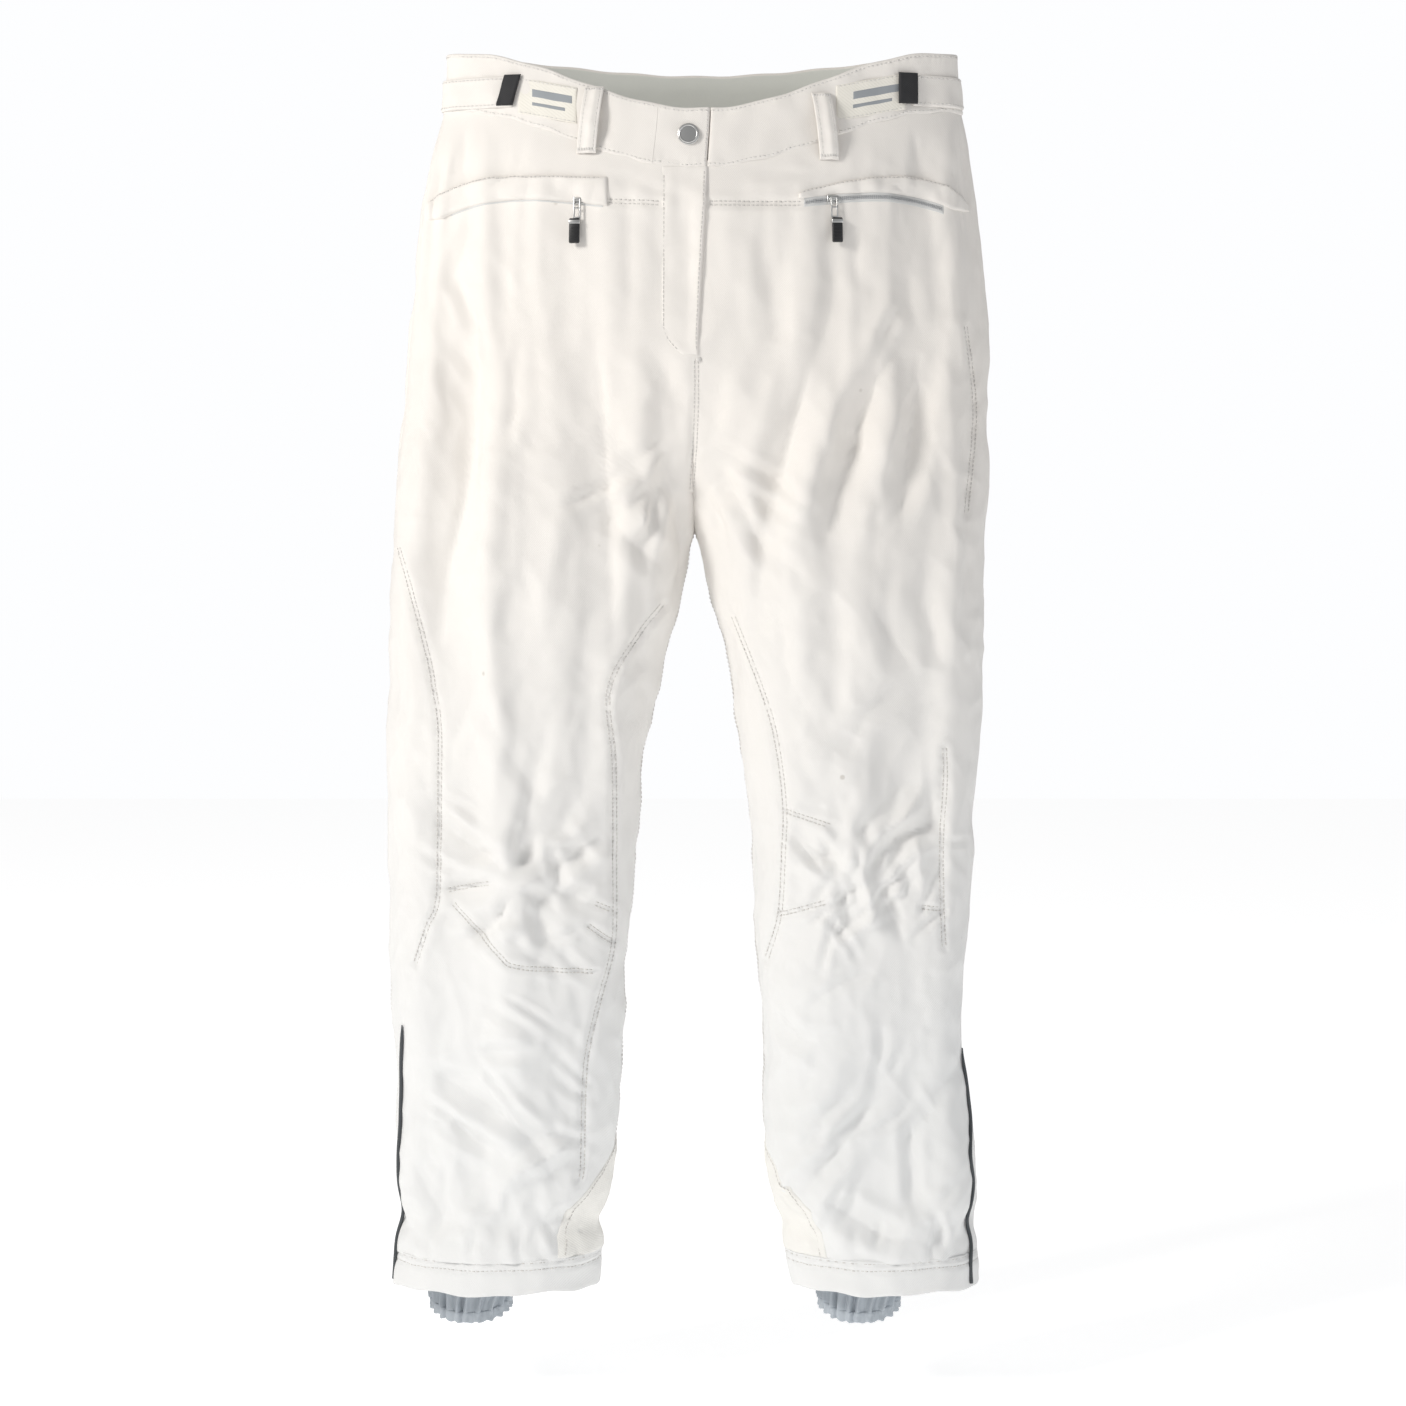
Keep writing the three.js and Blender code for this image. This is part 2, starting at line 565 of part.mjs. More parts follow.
function leg(side) {
  const hipY = (turn) => legPoint(side, turn, HIP_Z).y;
  const kneeY = (turn) => legPoint(side, turn, KNEE_Z).y;
  const hip = (way, gap) => (turn) => cutZ(HIP_Z, way, HIP_FRONT, HIP_BACK, hipY(turn)) + gap;
  const knee = (way, gap) => (turn) => cutZ(KNEE_Z, way, KNEE_FRONT, KNEE_BACK, kneeY(turn)) + gap;
  const inner = side === 'right' ? 0 : 180;
  const seam = 0.25;

  // The folding ring of the hip takes the wide oval above and the leg's oval below.
  const foldTop = (u) => cutZ(HIP_Z, 1, HIP_FRONT, HIP_BACK, hipY(u * 360)) - GAP / 2;
  const hipFold = (u, v) => {
    const turn = (u * 360 + 360) % 360;
    const z = mix(hip(-1, GAP / 2)(turn), foldTop(turn / 360), v);
    const front = turn > 180;
    const far = side === 'right' ? Math.abs(180 - turn) / 180 : (front ? 360 - turn : turn) / 180;
    return quarterPoint(side, front ? 'front' : 'back', Math.min(1, far), z);
  };
  add(`hip_fold_${side}`, ring(hipFold, 2 * CELLS, 2, CLOTH), SHELL);

  const backPanel = [seam, 180 - seam];
  const frontPanel = [180 + seam, 360 - seam];
  for (const [name, [from, to]] of [['back', backPanel], ['front', frontPanel]]) {
    const thigh = tube(side, knee(1, GAP / 2), hip(-1, -GAP / 2), from, to);
    add(`thigh_${name}_${side}`, slab(thigh, CELLS, 5, flat(-CLOTH), flat(0)), SHELL);
    const shin = tube(side, () => HEM_Z + HEM_TALL + GAP, knee(-1, -GAP / 2), from, to);
    add(`shin_${name}_${side}`, slab(shin, CELLS, 5, flat(-CLOTH), flat(0)), SHELL);
  }
  const kneeFold = tube(side, knee(-1, GAP / 2), knee(1, -GAP / 2));
  add(`knee_fold_${side}`, ring(kneeFold, 2 * CELLS, 2, CLOTH), SHELL);
  const hem = tube(side, () => HEM_Z, () => HEM_Z + HEM_TALL);
  add(`hem_band_${side}`, ring(hem, 2 * CELLS, 1, 2.4), SHELL);

  // Scuff guard: a kite on the inner ankle, on the outside of the leg.
  const guard = (u, v) => {
    const half = mix(40, 5, v ** 0.8);
    const turn = inner + mix(-half, half, u);
    return legPoint(side, turn, mix(HEM_Z + HEM_TALL - 18, HEM_Z + 128, v));
  };
  add(`scuff_guard_${side}`, slab(guard, 6, 5, flat(4 * GAP), flat(4 * GAP + 1.1)), CREAM);

  // Piping: a thin cord laid on the outer seam of the shin.
  const outerTurn = inner + 180;
  const cord = (u, v) => legPoint(side, outerTurn + mix(-1.6, 1.6, u), mix(HEM_Z + 4, HEM_Z + 205, v));
  add(`piping_${side}`, slab(cord, 1, 5, flat(5 * GAP), flat(5 * GAP + 1.8)), DARK);

  // Snow gaiter: sewn inside the leg, gathered to an elastic below the hem.
  const rows = LEGS[side];
  const gaiter = (u, v) => {
    const turn = u * 360;
    const z = mix(GAITER_END, GAITER_TOP, v);
    const wide = legPoint(side, turn, z);
    const share = ease(v * 1.08) * 1;
    const cx = (along(rows, z, 1) + along(rows, z, 2)) / 2;
    const a = Math.abs(along(rows, z, 1) - along(rows, z, 2)) / 2 - 2.4 - GAP;
    const b = along(rows, z, 3) - 2.4 - GAP;
    const x = cx + mix(GAITER_SHIFT, 0, share) + mix(GAITER_X, a, share) * Math.cos(rad(turn));
    const y = mix(GAITER_Y, b, share) * Math.sin(rad(turn));
    return wide.set(x, y, z);
  };
  add(`gaiter_${side}`, ring(gaiter, 2 * CELLS, 4, 1), GREY);
  const end = (u, v) => gaiter(u, 0).setZ(mix(GAITER_END - GAP - ELASTIC_TALL, GAITER_END - GAP, v));
  add(`gaiter_elastic_${side}`, ring(end, 2 * CELLS, 1, 1.8, () => 0.4), GREY);
}

waistband();
shell('right');
shell('left');
add('crotch_gusset', gusset(), SHELL);
fly();
beltLoop('right', -85, -93, -33);
beltLoop('left', 98, 106, -38);
patch('right', -150, -101, (x) => mix(-38, -48, (x + 150) / 49));
patch('left', 112, 170, (x) => mix(-46, -34, (x - 112) / 58));
adjuster('right', 172, 360 - turnFor(-158), -35, -165, -148);
adjuster('left', 368, 360 - turnFor(178), -33, 161, 180);
leg('right');
leg('left');

export default group;
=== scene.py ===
# %% [markdown]
# White ski pants hang by the waistband. The script reads the engineering frame, lays cloth over
# it, lets a cloth simulation find the folds, and then sews on bands, zips, trims and hardware.

# %% The frame, and the box it fills
import json
import math

import bpy
import numpy as np
from mathutils import Matrix, Vector, noise
from mathutils.bvhtree import BVHTree
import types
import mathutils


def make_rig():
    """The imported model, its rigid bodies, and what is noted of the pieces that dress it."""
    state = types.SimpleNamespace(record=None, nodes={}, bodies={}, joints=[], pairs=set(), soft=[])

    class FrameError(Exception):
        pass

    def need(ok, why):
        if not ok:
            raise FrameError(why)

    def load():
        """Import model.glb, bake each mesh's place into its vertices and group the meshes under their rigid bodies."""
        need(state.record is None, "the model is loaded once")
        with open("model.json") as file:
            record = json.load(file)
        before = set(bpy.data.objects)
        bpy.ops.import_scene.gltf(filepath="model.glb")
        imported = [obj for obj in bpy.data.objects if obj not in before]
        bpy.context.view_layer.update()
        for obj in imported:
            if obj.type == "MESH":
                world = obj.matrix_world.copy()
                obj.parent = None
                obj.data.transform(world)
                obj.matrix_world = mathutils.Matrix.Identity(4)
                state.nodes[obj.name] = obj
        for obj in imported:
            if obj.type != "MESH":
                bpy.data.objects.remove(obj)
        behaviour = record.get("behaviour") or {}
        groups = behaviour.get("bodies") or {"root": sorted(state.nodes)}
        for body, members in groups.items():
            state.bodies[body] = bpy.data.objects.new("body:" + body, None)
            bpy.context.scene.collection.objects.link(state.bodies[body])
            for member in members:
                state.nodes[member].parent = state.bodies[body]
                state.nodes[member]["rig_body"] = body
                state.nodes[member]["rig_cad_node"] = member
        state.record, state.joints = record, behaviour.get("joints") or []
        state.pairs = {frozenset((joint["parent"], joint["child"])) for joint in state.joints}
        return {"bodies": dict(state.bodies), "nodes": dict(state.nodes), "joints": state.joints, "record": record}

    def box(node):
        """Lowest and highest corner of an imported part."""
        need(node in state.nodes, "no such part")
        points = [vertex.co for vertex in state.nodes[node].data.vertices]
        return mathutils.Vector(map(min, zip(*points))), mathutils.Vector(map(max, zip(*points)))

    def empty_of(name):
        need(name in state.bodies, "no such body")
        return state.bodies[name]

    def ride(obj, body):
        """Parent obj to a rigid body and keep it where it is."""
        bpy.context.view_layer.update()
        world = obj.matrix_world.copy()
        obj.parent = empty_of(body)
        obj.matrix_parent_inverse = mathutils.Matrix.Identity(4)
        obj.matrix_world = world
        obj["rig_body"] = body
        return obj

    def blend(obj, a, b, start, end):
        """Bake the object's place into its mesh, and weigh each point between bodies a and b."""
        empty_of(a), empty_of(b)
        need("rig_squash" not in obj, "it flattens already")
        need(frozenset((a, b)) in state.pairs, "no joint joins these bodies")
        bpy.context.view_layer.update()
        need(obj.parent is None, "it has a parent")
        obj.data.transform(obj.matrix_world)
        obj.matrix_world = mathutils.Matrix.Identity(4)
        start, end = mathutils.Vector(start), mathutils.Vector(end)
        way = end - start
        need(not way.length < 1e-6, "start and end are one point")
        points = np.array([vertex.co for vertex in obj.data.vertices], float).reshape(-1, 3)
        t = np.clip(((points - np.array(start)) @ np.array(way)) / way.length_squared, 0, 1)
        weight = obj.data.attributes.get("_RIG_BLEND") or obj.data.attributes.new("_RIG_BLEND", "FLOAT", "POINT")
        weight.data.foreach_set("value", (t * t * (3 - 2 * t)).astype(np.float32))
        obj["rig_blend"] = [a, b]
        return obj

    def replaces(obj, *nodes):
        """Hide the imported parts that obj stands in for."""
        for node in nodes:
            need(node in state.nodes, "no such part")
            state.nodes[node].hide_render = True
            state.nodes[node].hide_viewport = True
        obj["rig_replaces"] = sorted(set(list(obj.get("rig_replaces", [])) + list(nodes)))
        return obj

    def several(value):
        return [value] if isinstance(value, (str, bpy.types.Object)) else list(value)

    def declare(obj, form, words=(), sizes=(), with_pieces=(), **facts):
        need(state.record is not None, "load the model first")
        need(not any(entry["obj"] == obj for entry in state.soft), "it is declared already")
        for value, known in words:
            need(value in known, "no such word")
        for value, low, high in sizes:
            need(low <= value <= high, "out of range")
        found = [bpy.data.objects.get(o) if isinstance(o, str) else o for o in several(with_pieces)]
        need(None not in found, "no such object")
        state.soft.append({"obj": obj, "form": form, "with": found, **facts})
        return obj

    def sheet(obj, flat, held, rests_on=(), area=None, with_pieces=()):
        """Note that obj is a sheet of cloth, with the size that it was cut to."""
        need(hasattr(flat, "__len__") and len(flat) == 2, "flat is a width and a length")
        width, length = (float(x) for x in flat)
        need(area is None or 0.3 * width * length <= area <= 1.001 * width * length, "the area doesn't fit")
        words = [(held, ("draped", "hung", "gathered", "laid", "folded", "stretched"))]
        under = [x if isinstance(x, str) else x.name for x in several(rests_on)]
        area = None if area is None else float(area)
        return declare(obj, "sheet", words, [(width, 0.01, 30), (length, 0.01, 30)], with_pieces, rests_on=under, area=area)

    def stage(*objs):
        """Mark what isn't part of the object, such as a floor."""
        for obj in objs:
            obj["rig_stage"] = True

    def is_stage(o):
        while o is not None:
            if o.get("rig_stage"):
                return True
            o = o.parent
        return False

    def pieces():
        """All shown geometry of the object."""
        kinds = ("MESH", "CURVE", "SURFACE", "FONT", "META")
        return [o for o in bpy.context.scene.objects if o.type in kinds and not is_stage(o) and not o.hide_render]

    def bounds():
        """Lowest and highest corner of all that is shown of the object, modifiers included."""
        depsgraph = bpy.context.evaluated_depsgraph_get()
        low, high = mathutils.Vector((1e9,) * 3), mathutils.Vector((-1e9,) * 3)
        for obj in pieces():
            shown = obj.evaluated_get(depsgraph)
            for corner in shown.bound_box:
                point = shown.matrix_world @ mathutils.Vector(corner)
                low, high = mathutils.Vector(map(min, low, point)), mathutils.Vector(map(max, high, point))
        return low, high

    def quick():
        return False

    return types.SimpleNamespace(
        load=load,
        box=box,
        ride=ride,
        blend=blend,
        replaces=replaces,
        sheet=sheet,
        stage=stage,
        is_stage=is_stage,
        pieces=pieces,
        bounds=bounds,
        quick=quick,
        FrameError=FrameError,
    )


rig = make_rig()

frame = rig.load()
cad_box = [list(corner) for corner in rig.bounds()]
print("the frame fills", cad_box)

# %% [markdown]
# The camera comes first, because everything is judged through it. It stands in front of the
# garment, a little above its middle, and looks slightly down, so that the hems curve.

# %% Camera
CAMERA_DISTANCE = 2.6
FRAME_WIDTH = 1.195            # metres across the camera's view at the garment
middle = Vector((0.0025, 0.0, -0.545))
camera_data = bpy.data.cameras.new("camera")
camera_data.sensor_width = 36
camera_data.lens = 36 * CAMERA_DISTANCE / FRAME_WIDTH
camera = bpy.data.objects.new("camera", camera_data)
camera.location = (0.0025, -CAMERA_DISTANCE, -0.36)
camera.rotation_euler = (middle - camera.location).to_track_quat("-Z", "Y").to_euler()
bpy.context.scene.collection.objects.link(camera)
bpy.context.scene.camera = camera
bpy.context.scene.view_settings.view_transform = "Standard"
print("lens", round(camera_data.lens, 1), "mm")

# %% [markdown]
# Cloth colour is almost flat; what the eye reads is its weave, its sheen and its light. Each
# finish is one Principled shader, and a woven one has a little noise in its colour and bump.

# %% Finishes


def finish(name, colour, roughness, sheen=0.0, metallic=0.0):
    material = bpy.data.materials.new(name)
    material.use_nodes = True
    shader = material.node_tree.nodes["Principled BSDF"]
    shader.inputs["Base Color"].default_value = (*colour, 1)
    shader.inputs["Roughness"].default_value = roughness
    shader.inputs["Metallic"].default_value = metallic
    shader.inputs["Sheen Weight"].default_value = sheen
    return material


def add_node(material, kind, **values):
    node = material.node_tree.nodes.new(kind)
    for key, value in values.items():
        if key in node.inputs:
            node.inputs[key].default_value = value
        else:
            setattr(node, key, value)
    return node

# %% [markdown]
# A woven cloth has relief at three sizes: the twill's diagonal ribs, the slubs of its threads and
# a soft crumple. Each is one texture through one Bump node, and they are chained one on another.

# %% Woven cloth


def woven(name, colour, roughness, sheen, twill, crumple, stain=0.03):
    """A fabric: a twill line every `twill` metres, and a soft crumple under it."""
    material = finish(name, colour, roughness, sheen)
    link = material.node_tree.links.new
    shader = material.node_tree.nodes["Principled BSDF"]
    place = add_node(material, "ShaderNodeTexCoord")
    turned = add_node(material, "ShaderNodeMapping")
    turned.inputs["Rotation"].default_value = (0, math.radians(52), 0)
    link(place.outputs["Object"], turned.inputs["Vector"])
    rib = add_node(material, "ShaderNodeTexWave", Scale=1 / twill / 6.283 * 2)
    rib.inputs["Distortion"].default_value = 0.6
    rib.inputs["Detail"].default_value = 2
    link(turned.outputs["Vector"], rib.inputs["Vector"])
    slub = add_node(material, "ShaderNodeTexNoise", Scale=900.0, Detail=3.0)
    link(place.outputs["Object"], slub.inputs["Vector"])
    soft = add_node(material, "ShaderNodeTexNoise", Scale=55.0, Detail=4.0, Roughness=0.55)
    link(place.outputs["Object"], soft.inputs["Vector"])
    fine = add_node(material, "ShaderNodeBump", Strength=0.25, Distance=0.0004)
    link(rib.outputs["Fac"], fine.inputs["Height"])
    grain = add_node(material, "ShaderNodeBump", Strength=0.25, Distance=0.0005)
    link(slub.outputs["Fac"], grain.inputs["Height"])
    link(fine.outputs["Normal"], grain.inputs["Normal"])
    wrinkle = add_node(material, "ShaderNodeBump", Strength=crumple, Distance=0.003)
    link(soft.outputs["Fac"], wrinkle.inputs["Height"])
    link(grain.outputs["Normal"], wrinkle.inputs["Normal"])
    link(wrinkle.outputs["Normal"], shader.inputs["Normal"])
    tone = add_node(material, "ShaderNodeTexNoise", Scale=9.0, Detail=3.0)
    link(place.outputs["Object"], tone.inputs["Vector"])
    ramp = add_node(material, "ShaderNodeValToRGB")
    low = [c * (1 - stain) for c in colour]
    high = [min(1, c * (1 + stain * 0.5)) for c in colour]
    ramp.color_ramp.elements[0].color = (*low, 1)
    ramp.color_ramp.elements[0].position = 0.3
    ramp.color_ramp.elements[1].color = (*high, 1)
    ramp.color_ramp.elements[1].position = 0.7
    link(tone.outputs["Fac"], ramp.inputs["Fac"])
    link(ramp.outputs["Color"], shader.inputs["Base Color"])
    return material

# %% [markdown]
# White cloth isn't one white here. It gets a painted warm light at the waist and a painted cool
# shade down the legs, it has a few small marks, and its coating holds sharp little creases that
# are too fine for the mesh.

# %% Painted warm light and cool shade, and small marks, on the shell cloth
SPECK_COLOUR = (0.42, 0.38, 0.33, 1)


def painted_light_and_marks(material, warm, cool):
    """Painted light and shade: warmer towards the waist and cooler down the legs, with a few small marks."""
    link = material.node_tree.links.new
    nodes = material.node_tree.nodes
    shader = nodes["Principled BSDF"]
    base_colour = shader.inputs["Base Color"].links[0].from_socket
    place = add_node(material, "ShaderNodeTexCoord")
    split = add_node(material, "ShaderNodeSeparateXYZ")
    link(place.outputs["Object"], split.inputs["Vector"])
    # Painted light: a warm colour at the waist that fades to a cool shade down the legs, multiplied into the cloth's
    # colour.
    height = add_node(material, "ShaderNodeMapRange")
    height.inputs["From Min"].default_value = -0.85
    height.inputs["From Max"].default_value = -0.30
    link(split.outputs["Z"], height.inputs["Value"])
    light_and_shade_colour = add_node(material, "ShaderNodeMix", data_type="RGBA")
    light_and_shade_colour.inputs[6].default_value = (*cool, 1)
    light_and_shade_colour.inputs[7].default_value = (*warm, 1)
    link(height.outputs["Result"], light_and_shade_colour.inputs[0])
    mixed = add_node(material, "ShaderNodeMix", data_type="RGBA", blend_type="MULTIPLY")
    mixed.inputs[0].default_value = 1.0
    link(base_colour, mixed.inputs[6])
    link(light_and_shade_colour.outputs[2], mixed.inputs[7])
    specks = add_node(material, "ShaderNodeTexVoronoi", Scale=13.0)
    specks.inputs["Randomness"].default_value = 1.0
    link(place.outputs["Object"], specks.inputs["Vector"])
    small = add_node(material, "ShaderNodeMapRange")
    small.inputs["From Min"].default_value = 0.035
    small.inputs["From Max"].default_value = 0.018
    link(specks.outputs["Distance"], small.inputs["Value"])
    marked = add_node(material, "ShaderNodeMix", data_type="RGBA")
    marked.inputs[7].default_value = SPECK_COLOUR
    faint = add_node(material, "ShaderNodeMath", operation="MULTIPLY")
    faint.inputs[1].default_value = 0.5
    link(small.outputs["Result"], faint.inputs[0])
    link(faint.outputs[0], marked.inputs[0])
    link(mixed.outputs[2], marked.inputs[6])
    link(marked.outputs[2], shader.inputs["Base Color"])
    wrinkle = shader.inputs["Normal"].links[0].from_node
    crease = add_node(material, "ShaderNodeTexNoise", Scale=26.0, Detail=3.0,
                      noise_type="RIDGED_MULTIFRACTAL")
    link(place.outputs["Object"], crease.inputs["Vector"])
    folded = add_node(material, "ShaderNodeBump", Strength=0.22, Distance=0.004)
    link(crease.outputs["Fac"], folded.inputs["Height"])
    link(wrinkle.outputs["Normal"], folded.inputs["Normal"])
    link(folded.outputs["Normal"], shader.inputs["Normal"])

# %% [markdown]
# The finishes themselves. Most colours were set as plain daylight reflectances: even white
# cloth stays near 0.8, so that the light can still shape it. Two are painted light: the thread in
# shade is a darker thread for stitches in shade, and the shell cloth gets a painted warm light at
# the waist and a painted cool shade down the legs.

# %% The garment's finishes
SHELL = woven("shell fabric", (0.80, 0.785, 0.765), 0.72, 0.12, 0.0011, 0.10)
LINING = woven("pale lining", (0.72, 0.73, 0.68), 0.6, 0.1, 0.0009, 0.15)
CREAM = woven("cream tape", (0.80, 0.77, 0.70), 0.8, 0.1, 0.0022, 0.05)
GAITER = woven("gaiter nylon", (0.42, 0.46, 0.50), 0.55, 0.15, 0.0008, 0.2, 0.08)
# Painted light on the shell cloth: warm at the waist, cool down the legs; the small marks are the cloth's own.
painted_light_and_marks(SHELL, (1.0, 0.975, 0.945), (0.965, 0.985, 1.0))
MARK = finish("grey woven mark", (0.30, 0.32, 0.34), 0.8)
THREAD = finish("white thread", (0.74, 0.72, 0.69), 0.7)
# Painted shade: stitches on the shell's seams, hems, welts, fly and ankle patches use this darker thread, as thread
# lying in shade.
CREASE = finish("thread in shade", (0.64, 0.62, 0.59), 0.8)
DARK = woven("dark tape", (0.055, 0.062, 0.068), 0.7, 0.1, 0.0012, 0.05)
BLACK = finish("black moulding", (0.012, 0.012, 0.013), 0.42)
TAPE = woven("zip tape", (0.62, 0.62, 0.61), 0.8, 0.1, 0.0010, 0.05)
COIL = finish("zip coil", (0.42, 0.43, 0.44), 0.4)
TOUGH = woven("ankle patch cloth", (0.80, 0.787, 0.75), 0.75, 0.05, 0.0016, 0.08)
STRAP_BLACK = woven("black tape", (0.016, 0.016, 0.018), 0.75, 0.05, 0.0013, 0.05)
METAL = finish("satin nickel", (0.62, 0.62, 0.61), 0.28, 0.0, 1.0)
print(len(bpy.data.materials), "finishes")

# %% [markdown]
# The cloth has to lie on the frame, so the frame is measured and nothing is copied by eye. A
# level plane cuts the chosen nodes, and the cut's smallest and largest x and y give one station.

# %% Stations measured from the frame


def slice_box(names, z):
    low, high = np.full(2, np.inf), np.full(2, -np.inf)
    for name in names:
        mesh = frame["nodes"][name].data
        points = np.array([v.co[:] for v in mesh.vertices])
        pairs = np.array([e.vertices[:] for e in mesh.edges])
        a, b = points[pairs[:, 0]], points[pairs[:, 1]]
        cut = (a[:, 2] - z) * (b[:, 2] - z) < 0
        if cut.any():
            share = (z - a[cut, 2]) / (b[cut, 2] - a[cut, 2])
            at = a[cut, :2] + (b[cut, :2] - a[cut, :2]) * share[:, None]
            low, high = np.minimum(low, at.min(0)), np.maximum(high, at.max(0))
    return low[0], high[0], low[1], high[1]


def smooth(rows, times=2):
    for _ in range(times):
        padded = np.vstack([2 * rows[0] - rows[1], rows, 2 * rows[-1] - rows[-2]])
        rows = (padded[:-2] + 2 * padded[1:-1] + padded[2:]) / 4
    return rows


SIDES = ("right", "left")
HIP_Z, HEM_Z = -0.371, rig.box("hem_band_right")[0][2]
hip_nodes = [f"{part}_{side}" for side in SIDES for part in ("seat_panel", "front_panel", "front_yoke")]
hip_nodes += ["waistband_back", "hip_fold_right", "hip_fold_left"]
hip_levels = np.arange(HIP_Z + 0.002, -0.012, 0.012)
hip_rows = smooth(np.array([slice_box(hip_nodes, z) for z in hip_levels]))
leg_levels = np.arange(HEM_Z + 0.001, HIP_Z, 0.012)
leg_rows = {}
for side in SIDES:
    parts = ("hip_fold", "thigh_front", "thigh_back", "knee_fold", "shin_front", "shin_back", "hem_band")
    names = [f"{part}_{side}" for part in parts]
    leg_rows[side] = smooth(np.array([slice_box(names, z) for z in leg_levels]), 4)
print("waist", hip_rows[-1].round(3), "thigh", leg_rows["right"][-1].round(3))

# %% [markdown]
# The surface itself: a wide oval round the hips that splits into one oval for each leg. `turn`
# runs round a leg seen from above: 0 is the wearer's left, 90 the back, 180 right, 270 the front.

# %% The garment's surface


def read(levels, rows, z, column):
    return np.interp(z, levels, rows[:, column])


def ease(value):
    value = np.clip(value, 0, 1)
    return value * value * (3 - 2 * value)


def hip_point(turn, z):
    turn, z = np.broadcast_arrays(np.asarray(turn, float), np.asarray(z, float))
    right, left = read(hip_levels, hip_rows, z, 0), read(hip_levels, hip_rows, z, 1)
    c, s = np.cos(np.radians(turn)), np.sin(np.radians(turn))
    pinch = 0.25 * np.clip(1 + z / 0.26, 0, 1)
    y = read(hip_levels, hip_rows, z, 3) * s * (1 - pinch * (1 - abs(s)))
    return np.stack([(left + right) / 2 + (left - right) / 2 * c, y, z], -1)


def leg_point(side, turn, z):
    turn, z = np.broadcast_arrays(np.asarray(turn, float), np.asarray(z, float))
    rows = leg_rows[side]
    right, left = read(leg_levels, rows, z, 0), read(leg_levels, rows, z, 1)
    deep = read(leg_levels, rows, z, 3)
    x = (left + right) / 2 + (left - right) / 2 * np.cos(np.radians(turn))
    return np.stack([x, deep * np.sin(np.radians(turn)), z], -1)


def wide_turn(side, turn):
    """The hips' angle that meets a leg's angle, and how near the middle it lies, from 0 to 1."""
    turn = np.asarray(turn, float) % 360
    front = turn > 180
    if side == "right":
        share = np.abs(180 - turn) / 180
        return np.where(front, 180 + 90 * share, 180 - 90 * share), share
    share = np.where(front, 360 - turn, turn) / 180
    return np.where(front, 360 - 90 * share, 90 * share), share


def garment_point(side, turn, z, front=None):
    wide, share = wide_turn(side, turn)
    if front is not None:
        wide = np.where(share > 0.9999, np.where(front, 270, 90), wide)
    split = np.clip((-0.240 - z) / (-0.240 - HIP_Z), 0, 1) ** 2.5
    oval, leg = hip_point(wide, np.maximum(z, HIP_Z)), leg_point(side, turn, z)
    at = oval + (leg - oval) * split[..., None]
    # The two halves share one seam down the middle, so both are drawn to the same line there.
    inner = {s: leg_point(s, 0 if s == "right" else 180, z)[..., 0] for s in SIDES}
    centre = hip_point(270, np.maximum(z, HIP_Z))[..., 0]
    own = centre + (inner[side] - centre) * split
    shared = centre + ((inner["right"] + inner["left"]) / 2 - centre) * split
    near = ease((share - 0.82) / 0.18) * np.clip(1 - (HIP_Z - z) / 0.035, 0, 1)
    at[..., 0] += (shared - own) * near
    at[..., 2] = z
    return at


print("hips from", hip_point(180, -0.2)[0].round(3), "to", hip_point(0, -0.2)[0].round(3))

# %% [markdown]
# The top edge dips in a cosine between the two sides, deeper at the front than at the back, and
# the waistband is as tall everywhere. The tuck is how far the shell cloth runs up behind it.

# %% The waistline
FRONT_DIP, BACK_DIP, BAND_TALL = 0.050, 0.011, 0.050
BAND_TUCK = 0.006


def dip(x, depth):
    return -depth * (0.5 + 0.5 * np.cos(np.pi * np.minimum(1, np.abs(x) / 0.212)))


def band_low(x, front):
    return np.where(front, dip(x, FRONT_DIP), dip(x, BACK_DIP)) - BAND_TALL


print("crotch at", garment_point("right", np.array(0.0), np.array(HIP_Z)).round(3))

# %% [markdown]
# The cloth is one grid for each half, cut along the middle and joined there, and closed into a
# tube below the crotch. A regular grid keeps the weave's directions, which a remesh would lose.

# %% Cloth grids
COLUMNS, HIP_ROWS, LEG_ROWS = 92, 50, 108
HEM_TUCK = 0.028               # the shell cloth ends inside the hem band, this far up


def half_grid(side, columns=COLUMNS, hip_count=HIP_ROWS, leg_count=LEG_ROWS):
    start = 0 if side == "right" else 180
    turn = start + np.linspace(0, 360, columns + 1)
    front = (turn % 360 > 180) if side == "right" else (turn % 360 >= 180)
    front = np.where(turn == start, side == "left", front)
    front = np.where(turn == start + 360, side == "right", front)
    wide, share = wide_turn(side, turn)
    wide = np.where(share > 0.9999, np.where(front, 270, 90), wide)
    top = band_low(hip_point(wide, -0.07)[:, 0], front) + BAND_TUCK
    down = np.linspace(0, 1, hip_count + 1)[:, None]
    hips = top + (HIP_Z - top) * down
    legs = np.linspace(HIP_Z, HEM_Z + HEM_TUCK, leg_count + 1)[1:, None] * np.ones(columns + 1)
    z = np.vstack([hips, legs])
    return garment_point(side, np.broadcast_to(turn, z.shape), z, front)


def eased_crotch(grid, rows=14, times=60):
    """Evens the step from the wide oval to the legs, away from the inner seam."""
    count = grid.shape[1]
    away = 1 - abs(np.linspace(-1, 1, count)) ** 2.2
    for _ in range(times):
        part = grid[HIP_ROWS - rows: HIP_ROWS + rows + 1]
        near = (part[:-2] + part[2:]) / 2 - part[1:-1]
        fade = np.sin(np.pi * np.arange(1, 2 * rows) / (2 * rows))[:, None, None]
        part[1:-1, :, :2] += (0.5 * away[None, :, None] * fade * near)[..., :2]
    return grid


grids = {side: eased_crotch(half_grid(side)) for side in SIDES}
print("grid", grids["right"].shape)

# %% [markdown]
# Both halves have to be one mesh for the simulation, so that the middle seam holds. A table of
# vertex numbers joins them: a column that two halves share has the same numbers in both.

# %% One mesh from two halves


